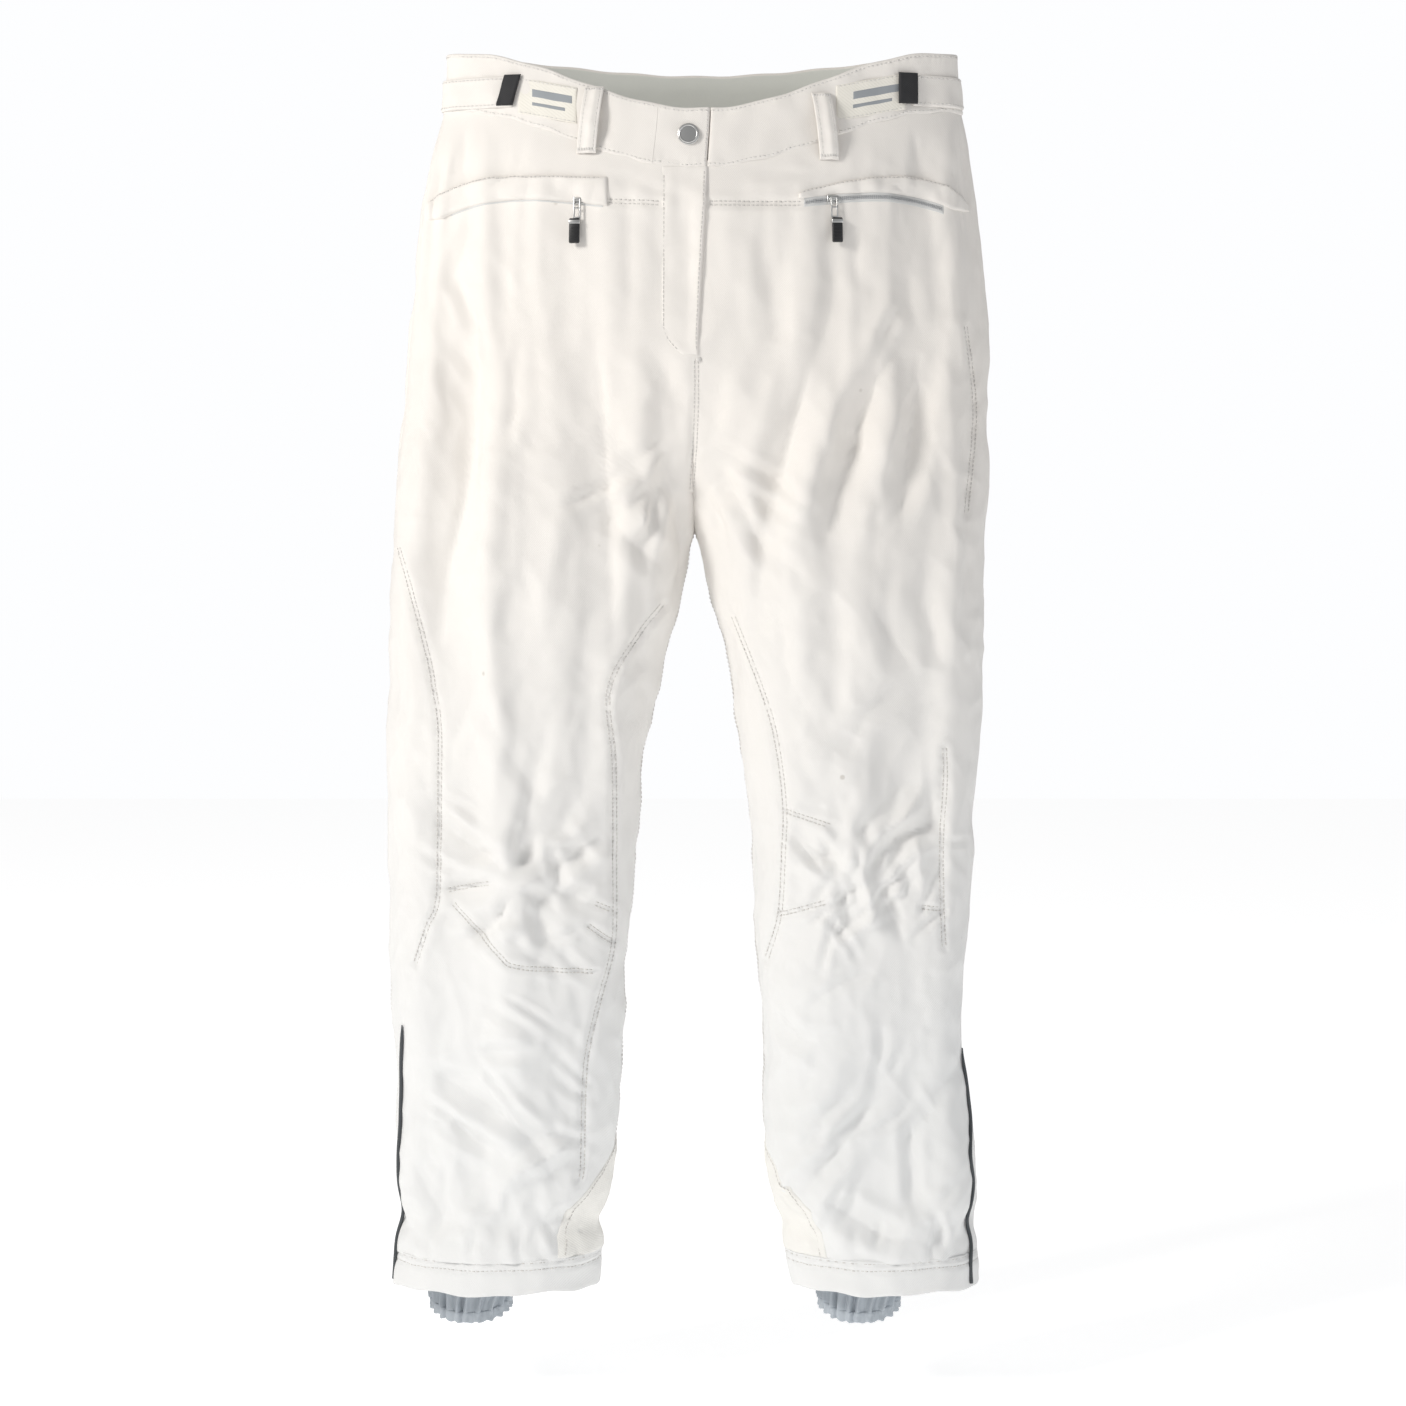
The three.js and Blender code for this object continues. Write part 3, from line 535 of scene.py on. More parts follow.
def grid_index(rows, columns, cut_rows):
    """Vertex numbers of both halves: joined down the middle above the crotch, tubes below."""
    right = np.arange((rows + 1) * (columns + 1)).reshape(rows + 1, columns + 1)
    left = right + right.size
    left[: cut_rows + 1, 0] = right[: cut_rows + 1, columns]
    left[: cut_rows + 1, columns] = right[: cut_rows + 1, 0]
    for side in (right, left):
        side[cut_rows + 1:, columns] = side[cut_rows + 1:, 0]
    right[cut_rows, columns] = right[cut_rows, 0]
    left[cut_rows, 0] = left[cut_rows, columns] = right[cut_rows, 0]
    return {"right": right, "left": left}


def quads(index):
    a, b, c, d = index[:-1, :-1], index[1:, :-1], index[1:, 1:], index[:-1, 1:]
    return np.stack([a, b, c, d], -1).reshape(-1, 4)


def top_z(points):
    return band_low(points[:, 0], points[:, 1] < 0) + BAND_TUCK


print("vertex numbers", grid_index(*(n - 1 for n in grids["right"].shape[:2]), HIP_ROWS)["left"].shape)

# %% [markdown]
# Real folds come from too much cloth between the seams that hold it. Blender's Cloth grows the
# rest length a little more at the knees and shins, pins the waist and hem, and lets it sag.

# %% Cloth settings
SHRINK_MOST = -0.045           # below zero, so the loose cloth grows by 4.5 %


def set_cloth(modifier, frames):
    settings = modifier.settings
    settings.quality = 6
    settings.mass = 0.35
    settings.air_damping = 3
    settings.tension_stiffness = settings.compression_stiffness = 30
    settings.shear_stiffness = 8
    settings.bending_stiffness = 6
    settings.tension_damping = settings.compression_damping = 15
    settings.shear_damping = 10
    settings.vertex_group_mass = "held"
    settings.vertex_group_shrink = "loose"
    settings.shrink_min = 0.0
    settings.shrink_max = SHRINK_MOST
    modifier.collision_settings.use_collision = False
    modifier.point_cache.frame_start, modifier.point_cache.frame_end = 1, frames


def only_folds(mesh, start, moved):
    """How far each vertex moved out, less the broad part, which is the garment's own sag."""
    mesh.vertices.foreach_set("co", start.ravel())
    mesh.update()
    outward = np.array([v.normal[:] for v in mesh.vertices])
    along = ((moved - start) * outward).sum(1)
    edges = np.array([e.vertices[:] for e in mesh.edges])
    count = np.bincount(edges.ravel(), minlength=len(start))
    broad = along.copy()
    for _ in range(350):
        near = np.bincount(edges[:, 0], broad[edges[:, 1]], len(start))
        near += np.bincount(edges[:, 1], broad[edges[:, 0]], len(start))
        broad = 0.5 * broad + 0.5 * near / count
    fold = along - broad
    z = start[:, 2]
    most = 0.0035 + 0.0065 * ease((-0.22 - z) / 0.25)
    free = ease((top_z(start) - z) / 0.04) * ease((z - HEM_Z - HEM_TUCK) / 0.05)
    return outward, most * np.tanh(fold / most) * free


print("loose cloth grows by", -100 * SHRINK_MOST, "%")

# %% [markdown]
# The halves are hung for thirty frames from a start with a little noise, because a perfect oval
# has no reason to fold one way or the other. The noise comes from a fixed seed.

# %% Hanging the cloth


def hang(grids, frames=30):
    rows, columns = grids["right"].shape[0] - 1, grids["right"].shape[1] - 1
    index = grid_index(rows, columns, HIP_ROWS)
    faces = np.vstack([quads(index[side]) for side in SIDES])
    points = np.vstack([grids[side].reshape(-1, 3) for side in SIDES])
    used, packed = np.unique(faces, return_inverse=True)
    faces = packed.reshape(faces.shape)
    start = points[used].copy()
    mesh = bpy.data.meshes.new("hanging cloth")
    mesh.from_pydata(start.tolist(), [], faces.tolist())
    cloth = bpy.data.objects.new("hanging cloth", mesh)
    bpy.context.scene.collection.objects.link(cloth)
    held = cloth.vertex_groups.new(name="held")
    loose = cloth.vertex_groups.new(name="loose")
    top = set(np.searchsorted(used, np.concatenate([index[s][:2].ravel() for s in SIDES])))
    low = set(np.searchsorted(used, np.concatenate([index[s][-1:].ravel() for s in SIDES])))
    held.add([int(i) for i in top | low], 1.0, "REPLACE")
    z = start[:, 2]
    slack = 0.25 + 0.75 * ease((-0.42 - z) / 0.2)
    for level in np.unique(slack.round(2)):
        loose.add(np.flatnonzero(slack.round(2) == level).tolist(), float(level), "REPLACE")
    rng = np.random.default_rng(7)
    jitter = rng.normal(0, 0.0006, start.shape)
    mesh.vertices.foreach_set("co", (start + jitter).ravel())
    set_cloth(cloth.modifiers.new("hang", "CLOTH"), frames)
    scene = bpy.context.scene
    for number in range(1, frames + 1):
        scene.frame_set(number)
    shown = cloth.evaluated_get(bpy.context.evaluated_depsgraph_get())
    moved = np.empty(len(mesh.vertices) * 3)
    shown.data.vertices.foreach_get("co", moved)
    moved = moved.reshape(-1, 3)
    scene.frame_set(1)
    outward, fold = only_folds(mesh, start, moved)
    bpy.data.objects.remove(cloth)
    points[used] = start + outward * fold[:, None]
    print("folds in and out by", fold.min().round(4), fold.max().round(4), "m")
    return {side: points[index[side]] for side in SIDES}


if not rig.quick():
    grids = hang(grids)

# %% [markdown]
# A simulated grid is coarse, so each gap is halved with a four-point rule that keeps the curve,
# which is what a subdivision would do, but leaves the rows and columns where seams can find them.

# %% A finer grid, with normals


def halved(values, around):
    """Twice as many steps along axis 1. A closed row takes its neighbours across its join."""
    before = np.where(around[:, None, None], values[:, -2:-1], 2 * values[:, :1] - values[:, 1:2])
    after = np.where(around[:, None, None], values[:, 1:2], 2 * values[:, -1:] - values[:, -2:-1])
    padded = np.concatenate([before, values, after], 1)
    between = (9 * (padded[:, 1:-2] + padded[:, 2:-1]) - padded[:, :-3] - padded[:, 3:]) / 16
    out = np.empty((values.shape[0], 2 * values.shape[1] - 1, 3))
    out[:, ::2], out[:, 1::2] = values, between
    return out


def finer(grid, cut):
    rows = grid.shape[0]
    grid = halved(grid, np.arange(rows) > cut)
    turned = halved(grid.transpose(1, 0, 2), np.zeros(grid.shape[1], bool))
    return turned.transpose(1, 0, 2)


def soften(grid, cut, times=1):
    for _ in range(times):
        middle = grid[1:-1, 1:-1]
        near = (grid[:-2, 1:-1] + grid[2:, 1:-1] + grid[1:-1, :-2] + grid[1:-1, 2:]) / 4
        grid[1:-1, 1:-1] = 0.5 * middle + 0.5 * near
        legs = grid[cut + 2:-1]
        ring = (legs[:, 1] + legs[:, -2] + grid[cut + 1:-2, 0] + grid[cut + 3:, 0]) / 4
        legs[:, 0] = legs[:, -1] = 0.5 * legs[:, 0] + 0.5 * ring
    return grid


def grid_normals(grids, cut):
    out = {}
    for side in SIDES:
        g = grids[side]
        closed = np.arange(g.shape[0]) > cut
        before = np.where(closed[:, None, None], g[:, -2:-1], 2 * g[:, :1] - g[:, 1:2])
        after = np.where(closed[:, None, None], g[:, 1:2], 2 * g[:, -1:] - g[:, -2:-1])
        if side == "right":
            other_first, other_last = grids["left"][:, -2:-1], grids["left"][:, 1:2]
        else:
            other_first, other_last = grids["right"][:, -2:-1], grids["right"][:, 1:2]
        before = np.where(closed[:, None, None], before, other_first)
        after = np.where(closed[:, None, None], after, other_last)
        wide = np.concatenate([before, g, after], 1)
        du = wide[:, 2:] - wide[:, :-2]
        dv = np.gradient(g, axis=0)
        n = np.cross(dv, du)
        out[side] = n / np.maximum(np.linalg.norm(n, axis=2, keepdims=True), 1e-12)
    return out


cut_row = HIP_ROWS
grids = {side: soften(grids[side], cut_row, 1) for side in SIDES}
grids = {side: finer(grids[side], cut_row) for side in SIDES}
cut_row *= 2
base = {side: grids[side].copy() for side in SIDES}
normals = grid_normals(grids, cut_row)
print("finer grid", grids["right"].shape)

# %% [markdown]
# The folds that the wearer and the hanger set in are drawn as lines on the front: a valley with
# a raised bank on each side. Each line is a few points in millimetres, across and up.

# %% The main folds
VALLEYS = [
    # points, depth and half width in millimetres
    ([(-89, -228), (-82, -287), (-79, -355), (-75, -423), (-72, -508)], 10, 18),
    ([(-191, -228), (-193, -302), (-200, -366), (-213, -430), (-217, -504)], 10, 18),
    ([(-78, -381), (-51, -411), (-32, -431)], 5, 10),
    ([(-225, -856), (-157, -897), (-133, -918)], 7, 10),
    ([(-211, -897), (-162, -926)], 6, 9),
    ([(-187, -834), (-140, -836)], 5, 7),
    ([(99, -237), (80, -302), (54, -394), (45, -468)], 9, 15),
    ([(167, -241), (139, -291), (121, -346), (102, -412)], 9, 15),
    ([(183, -246), (176, -320), (167, -394)], 7, 12),
    ([(189, -458), (203, -517)], 4, 10),
    ([(62, -804), (78, -823), (99, -827)], 6, 9),
    ([(144, -887), (93, -949), (87, -969)], 6, 10),
    ([(103, -963), (156, -992), (191, -994)], 6, 10),
    ([(176, -880), (178, -925), (179, -972)], 4, 7),
    ([(205, -640), (170, -655), (150, -668)], 6, 9),
    ([(75, -650), (100, -668), (120, -678)], 6, 9),
    ([(110, -745), (128, -715), (136, -690)], 5, 9),
    ([(170, -740), (158, -712), (146, -692)], 5, 9),
    ([(-225, -640), (-190, -664), (-160, -682)], 6, 10),
    ([(-226, -700), (-190, -697), (-163, -693)], 6, 9),
    ([(-150, -640), (-148, -662), (-146, -680)], 5, 9),
    ([(-80, -652), (-108, -672), (-130, -686)], 6, 10),
    ([(-85, -715), (-108, -704), (-128, -696)], 5, 9),
    ([(-120, -752), (-132, -728), (-139, -706)], 5, 9),
    ([(-190, -745), (-172, -722), (-156, -703)], 5, 9),
]
RIDGES = [
    ([(-108, -910), (-127, -923), (-156, -938), (-167, -955)], 5, 9),
    ([(187, -594), (183, -620), (144, -660), (128, -670)], 6, 9),
    ([(132, -676), (139, -703), (144, -733)], 5, 9),
    ([(181, -624), (181, -657), (187, -709)], 5, 9),
    ([(-160, -700), (-145, -690), (-128, -684)], 5, 12),
    ([(-146, -250), (-150, -330), (-152, -420), (-150, -520)], 4, 24),
]

print(len(VALLEYS), "valleys and", len(RIDGES), "ridges")

# %% [markdown]
# Between the main folds lie many small creases. They fan out where the cloth bunches, and lean
# one way elsewhere, so they are scattered by rule from fixed seeds, front and back apart.

# %% Small creases


def fan(centre, inner, outer, angles, count, deep, half, seed):
    """Small creases that spread from a point, as cloth bunches at a knee or a crotch."""
    rng, lines = np.random.default_rng(seed), []
    for k in range(count):
        angle = math.radians(angles[0] + (angles[1] - angles[0]) * (k + rng.uniform(0.1, 0.9)) / count)
        start, end = inner * rng.uniform(0.6, 1.5), outer * rng.uniform(0.55, 1.1)
        bend = rng.uniform(-0.25, 0.25)
        x, z = centre + rng.normal(0, inner * 1.1, 2)
        line = [(x + r * math.cos(angle + bend * (r - start) / outer),
                 z + r * math.sin(angle + bend * (r - start) / outer)) for r in np.linspace(start, end, 4)]
        lines.append((line, deep * rng.uniform(0.5, 1.1), half * rng.uniform(0.6, 1.2)))
    return lines


def strewn(box, slant, length, count, deep, half, seed):
    """Loose creases inside a box, all leaning roughly one way."""
    rng, lines = np.random.default_rng(seed), []
    for _ in range(count):
        x, z = rng.uniform(box[0], box[1]), rng.uniform(box[2], box[3])
        angle, size = math.radians(rng.normal(slant, 16)), length * rng.uniform(0.5, 1.2) / 2
        bow = size * rng.uniform(-0.18, 0.18)
        c, s = math.cos(angle), math.sin(angle)
        line = [(x + t * size * c - (1 - t * t) * bow * s, z + t * size * s + (1 - t * t) * bow * c)
                for t in (-1, -0.3, 0.4, 1)]
        lines.append((line, deep * rng.uniform(0.4, 1.1), half * rng.uniform(0.6, 1.3)))
    return lines


CREASES = (
    fan((-146, -692), 16, 60, (0, 360), 9, 2.6, 5.5, 1)
    + fan((136, -684), 16, 60, (0, 360), 9, 2.6, 5.5, 2)
    + strewn((-212, -95, -765, -625), -42, 62, 13, 3.2, 5.5, 21)
    + strewn((-205, -100, -740, -650), 30, 40, 5, 2.6, 5, 22)
    + strewn((78, 200, -765, -625), 48, 62, 11, 3.2, 5.5, 23)
    + strewn((80, 195, -750, -640), -62, 50, 8, 2.8, 5, 24)
    + fan((-4, -330), 18, 120, (200, 262), 7, 3.4, 8, 3)
    + fan((0, -330), 18, 120, (280, 340), 7, 3.4, 8, 4)
    + strewn((-235, -90, -640, -400), 84, 110, 10, 2.6, 10, 5)
    + strewn((60, 215, -640, -400), 98, 110, 10, 2.6, 10, 6)
    + strewn((-235, -90, -985, -780), 150, 70, 16, 2.8, 6, 7)
    + strewn((75, 215, -985, -780), 50, 70, 16, 2.8, 6, 8)
    + strewn((-240, -95, -1008, -985), 88, 30, 16, 2.0, 5, 9)
    + strewn((85, 225, -1008, -985), 92, 30, 16, 2.0, 5, 10)
    + strewn((-220, -30, -380, -150), 96, 90, 11, 2.4, 9, 11)
    + strewn((30, 215, -380, -150), 82, 90, 11, 2.4, 9, 12)
    + strewn((-215, -20, -125, -95), 15, 45, 9, 1.4, 6, 13)
    + strewn((20, 205, -125, -95), 165, 45, 9, 1.4, 6, 14)
)
BACK_CREASES = (
    strewn((-235, -80, -765, -650), 4, 90, 9, 3.2, 7, 31)
    + strewn((70, 215, -765, -650), -4, 90, 9, 3.2, 7, 32)
    + strewn((-210, -25, -440, -330), -24, 100, 9, 3.0, 9, 33)
    + strewn((25, 205, -440, -330), 24, 100, 9, 3.0, 9, 34)
    + strewn((-235, -90, -1000, -790), 60, 80, 13, 2.8, 7, 35)
    + strewn((75, 215, -1000, -790), 118, 80, 13, 2.8, 7, 36)
    + strewn((-235, -60, -640, -440), 80, 110, 9, 2.6, 10, 37)
    + strewn((55, 215, -640, -440), 100, 110, 9, 2.6, 10, 38)
    + strewn((-200, 200, -310, -90), 88, 90, 16, 2.2, 10, 39)
)
print(len(CREASES), "small creases in front,", len(BACK_CREASES), "behind")

# %% [markdown]
# The panels are not cut apart in the looks. A seam is a groove pressed into the cloth and later
# two rows of stitches beside it, which is what the eye takes for a seam on coated cloth.

# %% Seam lines
SEAMS = {
    "yoke_right": [(-78, -127), (-50, -128), (-32, -129)],
    "yoke_left": [(8, -129), (45, -129), (88, -129)],
    "front_middle": [(-3, -258), (-3, -290), (-4, -320), (-6, -350), (-7, -366)],
    "side_right": [(-253, -412), (-245, -436), (-228, -501), (-223, -528), (-218, -565), (-219, -638),
                   (-221, -707), (-230, -731), (-241, -764)],
    "inner_right": [(-32, -460), (-51, -484), (-76, -530), (-72, -593), (-72, -678), (-73, -744),
                    (-84, -790), (-94, -831), (-98, -866), (-100, -938), (-104, -949)],
    "dart_right_a": [(-212, -700), (-176, -692)],
    "dart_right_b": [(-207, -711), (-169, -751), (-152, -762), (-88, -769)],
    "dart_right_c": [(-88, -711), (-75, -717)],
    "dart_right_d": [(-94, -729), (-75, -744)],
    "inner_left": [(28, -470), (40, -500), (50, -526), (60, -556), (67, -592), (71, -633), (70, -666),
                   (67, -720), (56, -762)],
    "side_left": [(205, -580), (206, -609), (203, -657), (204, -714), (206, -750)],
    "hip_left": [(222, -228), (230, -283), (230, -320), (223, -384)],
    "dart_left_a": [(72, -632), (110, -644)],
    "dart_left_b": [(67, -720), (108, -707)],
    "dart_left_c": [(187, -714), (203, -716)],
}
print(len(SEAMS), "seams")

# %% [markdown]
# A fold is pressed in by its distance from a line: a sharp groove, a soft hollow round it and a
# raised bank on each side, fading out at both ends. The banks are what makes it look like cloth.

# %% Pressing a line into cloth


def crinkle(points, size, seed=0.0):
    shape = points.shape[:-1]
    flat = points.reshape(-1, 3) / size + seed
    return np.array([noise.noise(Vector(p)) for p in flat]).reshape(shape)


def line_distance(points, line):
    """Distance of points from a polyline, and how far along it the nearest place is, 0 to 1."""
    line = np.array(line, float) / 1000
    best = np.full(points.shape[:-1], np.inf)
    where = np.zeros(points.shape[:-1])
    lengths = np.linalg.norm(np.diff(line, axis=0), axis=1)
    done = 0.0
    for a, b, length in zip(line[:-1], line[1:], lengths):
        t = np.clip(((points - a) @ (b - a)) / length ** 2, 0, 1)
        far = np.linalg.norm(points - a - t[..., None] * (b - a), axis=-1)
        closer = far < best
        best = np.where(closer, far, best)
        where = np.where(closer, (done + t * length) / lengths.sum(), where)
        done += length
    return best, where


def rounded(line, steps=6):
    """A smooth curve through the points, which a fold follows and a ruler does not."""
    p = np.array(line, float)
    if len(p) < 3:
        return p
    q = np.vstack([2 * p[0] - p[1], p, 2 * p[-1] - p[-2]])
    out = []
    for i in range(1, len(q) - 2):
        for t in np.linspace(0, 1, steps, endpoint=False):
            a, b, c, d = q[i - 1], q[i], q[i + 1], q[i + 2]
            out.append(0.5 * (2 * b + (c - a) * t + (2 * a - 5 * b + 4 * c - d) * t ** 2
                              + (3 * b - a - 3 * c + d) * t ** 3))
    return np.vstack([out, p[-1:]])


def pressed_in(far, along, half):
    """The shape of one fold at a distance from its line: a groove between two banks."""
    r = far / (half / 1000)
    fade = np.sin(np.pi * np.clip(along, 0.02, 0.98)) ** 0.7
    return (0.7 * np.exp(-r ** 2) + 0.5 * np.exp(-3.5 * r) - 0.5 * np.exp(-((r - 1.7) / 0.75) ** 2)) * fade


print("banks stand", round(-100 * float(pressed_in(0.0153, 0.5, 9.0))), "% of a fold's depth")

# %% [markdown]
# Each half is pressed with all of its lines, then crumpled all over. The side seam runs down the
# middle column of each grid, so it is sunk by its column instead of by a drawn line.

# %% Folds and seams pressed into the cloth
FOLD_STRENGTH = 0.85


def press(grids, base, normals):
    for side in SIDES:
        flat = base[side][..., [0, 2]]
        facing = ease((-normals[side][..., 1] - 0.05) / 0.45)
        lift = np.zeros(facing.shape)
        behind = ease((normals[side][..., 1] - 0.05) / 0.45)
        for lines, sign, where in ((VALLEYS, -1, facing), (RIDGES, 1, facing), (CREASES, -1, facing),
                                   (BACK_CREASES, -1, behind)):
            for line, deep, half in lines:
                reach = [p[0] if side == "left" else -p[0] for p in line]
                if max(reach) < -30:
                    continue
                far, along = line_distance(flat, rounded(line))
                lift += sign * deep / 1000 * FOLD_STRENGTH * pressed_in(far, along, half) * where
        # Stiff coated cloth crumples into facets, so sharp-crested noise goes over everything.
        points = base[side]
        warp = 0.35 * crinkle(points, 0.05, 9)
        calm = 1 - 0.6 * ease((points[..., 2] + 0.33) / 0.2)
        for size, high, seed in ((0.085, 0.0026, 1), (0.042, 0.0016, 2), (0.021, 0.0008, 3)):
            bent = points.copy()
            bent[..., 0] += size * warp
            bent[..., 2] *= 0.75
            lift += high * calm * (0.5 - 2.2 * np.abs(crinkle(bent, size, seed)))
        lift *= ease((top_z(points.reshape(-1, 3)).reshape(lift.shape) - points[..., 2]) / 0.03)
        for line in SEAMS.values():
            if (np.mean([p[0] for p in line]) < 0) != (side == "right"):
                continue
            far, along = line_distance(flat, rounded(line))
            pucker = 1 + 0.5 * np.sin(along * 260)
            lift -= facing * 0.0012 * pucker * np.exp(-(far / 0.0022) ** 2)
            lift += facing * 0.0007 * np.exp(-((far - 0.006) / 0.0035) ** 2)
        grids[side] += normals[side] * lift[..., None]
        # The outer side seam and the seam at the back of the leg run down a column.
        columns = grids[side].shape[1] - 1
        column = columns // 2
        sink = np.exp(-((np.arange(columns + 1) - column) / 1.1) ** 2) * 0.0012
        grids[side] -= normals[side] * sink[None, :, None]
    return grids


print("folds pressed in at", FOLD_STRENGTH, "of their drawn depth")

# %% [markdown]
# Pressing moves each half by itself, so the points that two halves share drift a little apart.
# They are averaged, and the finished cloth is kept as a tree that later parts are laid on.

# %% Sewing the halves shut


def sewn_shut(grids, cut):
    """Gives both halves the same points down the middle, and closes each leg's tube."""
    right, left = grids["right"], grids["left"]
    for a, b in (((right, -1), (left, 0)), ((right, 0), (left, -1))):
        mean = (a[0][:cut + 1, a[1]] + b[0][:cut + 1, b[1]]) / 2
        a[0][:cut + 1, a[1]] = b[0][:cut + 1, b[1]] = mean
    crotch = (right[cut, 0] + right[cut, -1]) / 2
    for grid in (right, left):
        grid[cut, 0] = grid[cut, -1] = crotch
        closing = (grid[cut + 1:, 0] + grid[cut + 1:, -1]) / 2
        grid[cut + 1:, 0] = grid[cut + 1:, -1] = closing
    return grids


grids = sewn_shut(press(grids, base, normals), cut_row)
normals = grid_normals(grids, cut_row)
surface_points = np.vstack([grids[s].reshape(-1, 3) for s in SIDES])
index = grid_index(grids["right"].shape[0] - 1, grids["right"].shape[1] - 1, cut_row)
surface_faces = np.vstack([quads(index[s]) for s in SIDES])
cloth_tree = BVHTree.FromPolygons(surface_points.tolist(), surface_faces.tolist())
print("the cloth has", len(surface_faces), "faces on its outside")

# %% [markdown]
# Meshes are gathered as arrays of points and faces. A `Sewing` holds one piece while cloth,
# stitches and edges are added to it, each with its own finish, and makes the object at the end.

# %% A basket for the parts of one piece


class Sewing:
    def __init__(self, name, *materials):
        self.name, self.materials = name, list(materials)
        self.points, self.faces, self.slots, self.normals = [], [], [], []
        self.count = 0

    def add(self, points, faces, slot=0, normals=None):
        points = np.asarray(points, float).reshape(-1, 3)
        if normals is None:
            normals = np.zeros_like(points)
        self.points.append(points)
        self.normals.append(np.asarray(normals, float).reshape(-1, 3))
        self.faces += [tuple(int(i) + self.count for i in face) for face in faces]
        self.slots += [slot] * len(faces)
        self.count += len(points)

    def make(self, own_normals=False):
        points = np.vstack(self.points)
        mesh = bpy.data.meshes.new(self.name)
        mesh.from_pydata(points.tolist(), [], self.faces)
        for material in self.materials:
            mesh.materials.append(material)
        mesh.polygons.foreach_set("material_index", self.slots)
        mesh.polygons.foreach_set("use_smooth", [True] * len(self.faces))
        mesh.update()
        piece = bpy.data.objects.new(self.name, mesh)
        bpy.context.scene.collection.objects.link(piece)
        if own_normals:
            given = np.vstack(self.normals)
            found = np.array([v.normal[:] for v in mesh.vertices])
            use = np.linalg.norm(given, axis=1) > 0.5
            found[use] = given[use]
            mesh.normals_split_custom_set_from_vertices(found.tolist())
        return piece

print("an empty basket has", Sewing("empty").count, "points")

# %% [markdown]
# Cloth has two faces and a thin edge. Both faces are grids with the same rows and columns, so the
# edge is a strip of quads between their borders, and a tube is closed by sharing its last column.

# %% Cloth with two faces


def closed_cloth(sewing, outer, inner, normal, slot_out, slot_in, closed_rows=None):
    """A cloth with two faces and closed edges, from a grid of each face."""
    rows, columns = outer.shape[:2]
    number = np.arange(rows * columns).reshape(rows, columns)
    if closed_rows is not None:
        number[closed_rows, -1] = number[closed_rows, 0]
    face = quads(number)
    points = np.vstack([outer.reshape(-1, 3), inner.reshape(-1, 3)])
    shade = np.vstack([normal.reshape(-1, 3), -normal.reshape(-1, 3)])
    rim = []
    back = number + rows * columns
    open_rows = np.ones(rows, bool) if closed_rows is None else ~closed_rows

    def strip(a, b, c, d):
        if a != b:
            rim.append((a, b, c, d))

    for j in range(columns - 1):
        strip(number[0, j], number[0, j + 1], back[0, j + 1], back[0, j])
        strip(number[-1, j + 1], number[-1, j], back[-1, j], back[-1, j + 1])
    for i in range(rows - 1):
        if open_rows[i]:
            strip(number[i + 1, 0], number[i, 0], back[i, 0], back[i + 1, 0])
            strip(number[i, -1], number[i + 1, -1], back[i + 1, -1], back[i, -1])
    used, packed = np.unique(np.concatenate([face.ravel(), (face + rows * columns).ravel(),
                                             np.array(rim).ravel()]), return_inverse=True)
    a, b = face.size, 2 * face.size
    sewing.add(points[used], packed[:a].reshape(-1, 4), slot_out, shade[used])
    start = sewing.count - len(used)
    inside = packed[a:b].reshape(-1, 4)[:, ::-1] + start
    edge = packed[b:].reshape(-1, 4) + start
    sewing.faces += [tuple(map(int, f)) for f in inside] + [tuple(map(int, f)) for f in edge]
    sewing.slots += [slot_in] * len(inside) + [slot_out] * len(edge)

# %% [markdown]
# Thread shows as a row of little ridges with gaps. One stitch is a ridge with a flat base, six
# points and five faces, because there are thousands of them, and each is turned to its path.

# %% Stitches
STITCH = np.array([(-1, -1, 0), (1, -1, 0), (1, 1, 0), (-1, 1, 0), (-0.6, 0, 1), (0.6, 0, 1)], float)
STITCH_FACES = [(0, 1, 5, 4), (2, 3, 4, 5), (1, 2, 5), (3, 0, 4), (3, 2, 1, 0)]


def stitches(sewing, path, normal, slot, length=0.0026, gap=0.0012, width=0.00045, high=0.00045):
    """A row of thread along a path: one small ridge for each stitch."""
    path, normal = np.asarray(path, float), np.asarray(normal, float)
    steps = np.linalg.norm(np.diff(path, axis=0), axis=1)
    run = np.concatenate([[0], np.cumsum(steps)])
    centres = np.arange(length / 2, run[-1] - length / 2, length + gap)
    if not len(centres):
        return

    def at(where, values):
        return np.stack([np.interp(where, run, values[:, k]) for k in range(3)], 1)

    mid, out = at(centres, path), at(centres, normal)
    way = at(centres + length / 2, path) - at(centres - length / 2, path)
    way /= np.maximum(np.linalg.norm(way, axis=1, keepdims=True), 1e-9)
    out /= np.linalg.norm(out, axis=1, keepdims=True)
    cross = np.cross(out, way)
    for m, w, c, n in zip(mid, way, cross, out):
        shape = (m + STITCH[:, :1] * w * length / 2 + STITCH[:, 1:2] * c * width
                 + (STITCH[:, 2:] * high + 0.00005) * n)
        sewing.add(shape, STITCH_FACES, slot)

print("a stitch has", len(STITCH_FACES), "faces")

# %% [markdown]
# Seam lines are drawn flat, and the cloth under them is folded. Each point of a line is dropped on
# the cloth along y by a ray, which also gives the way that a stitch there has to stand up.

# %% Lines dropped on the cloth


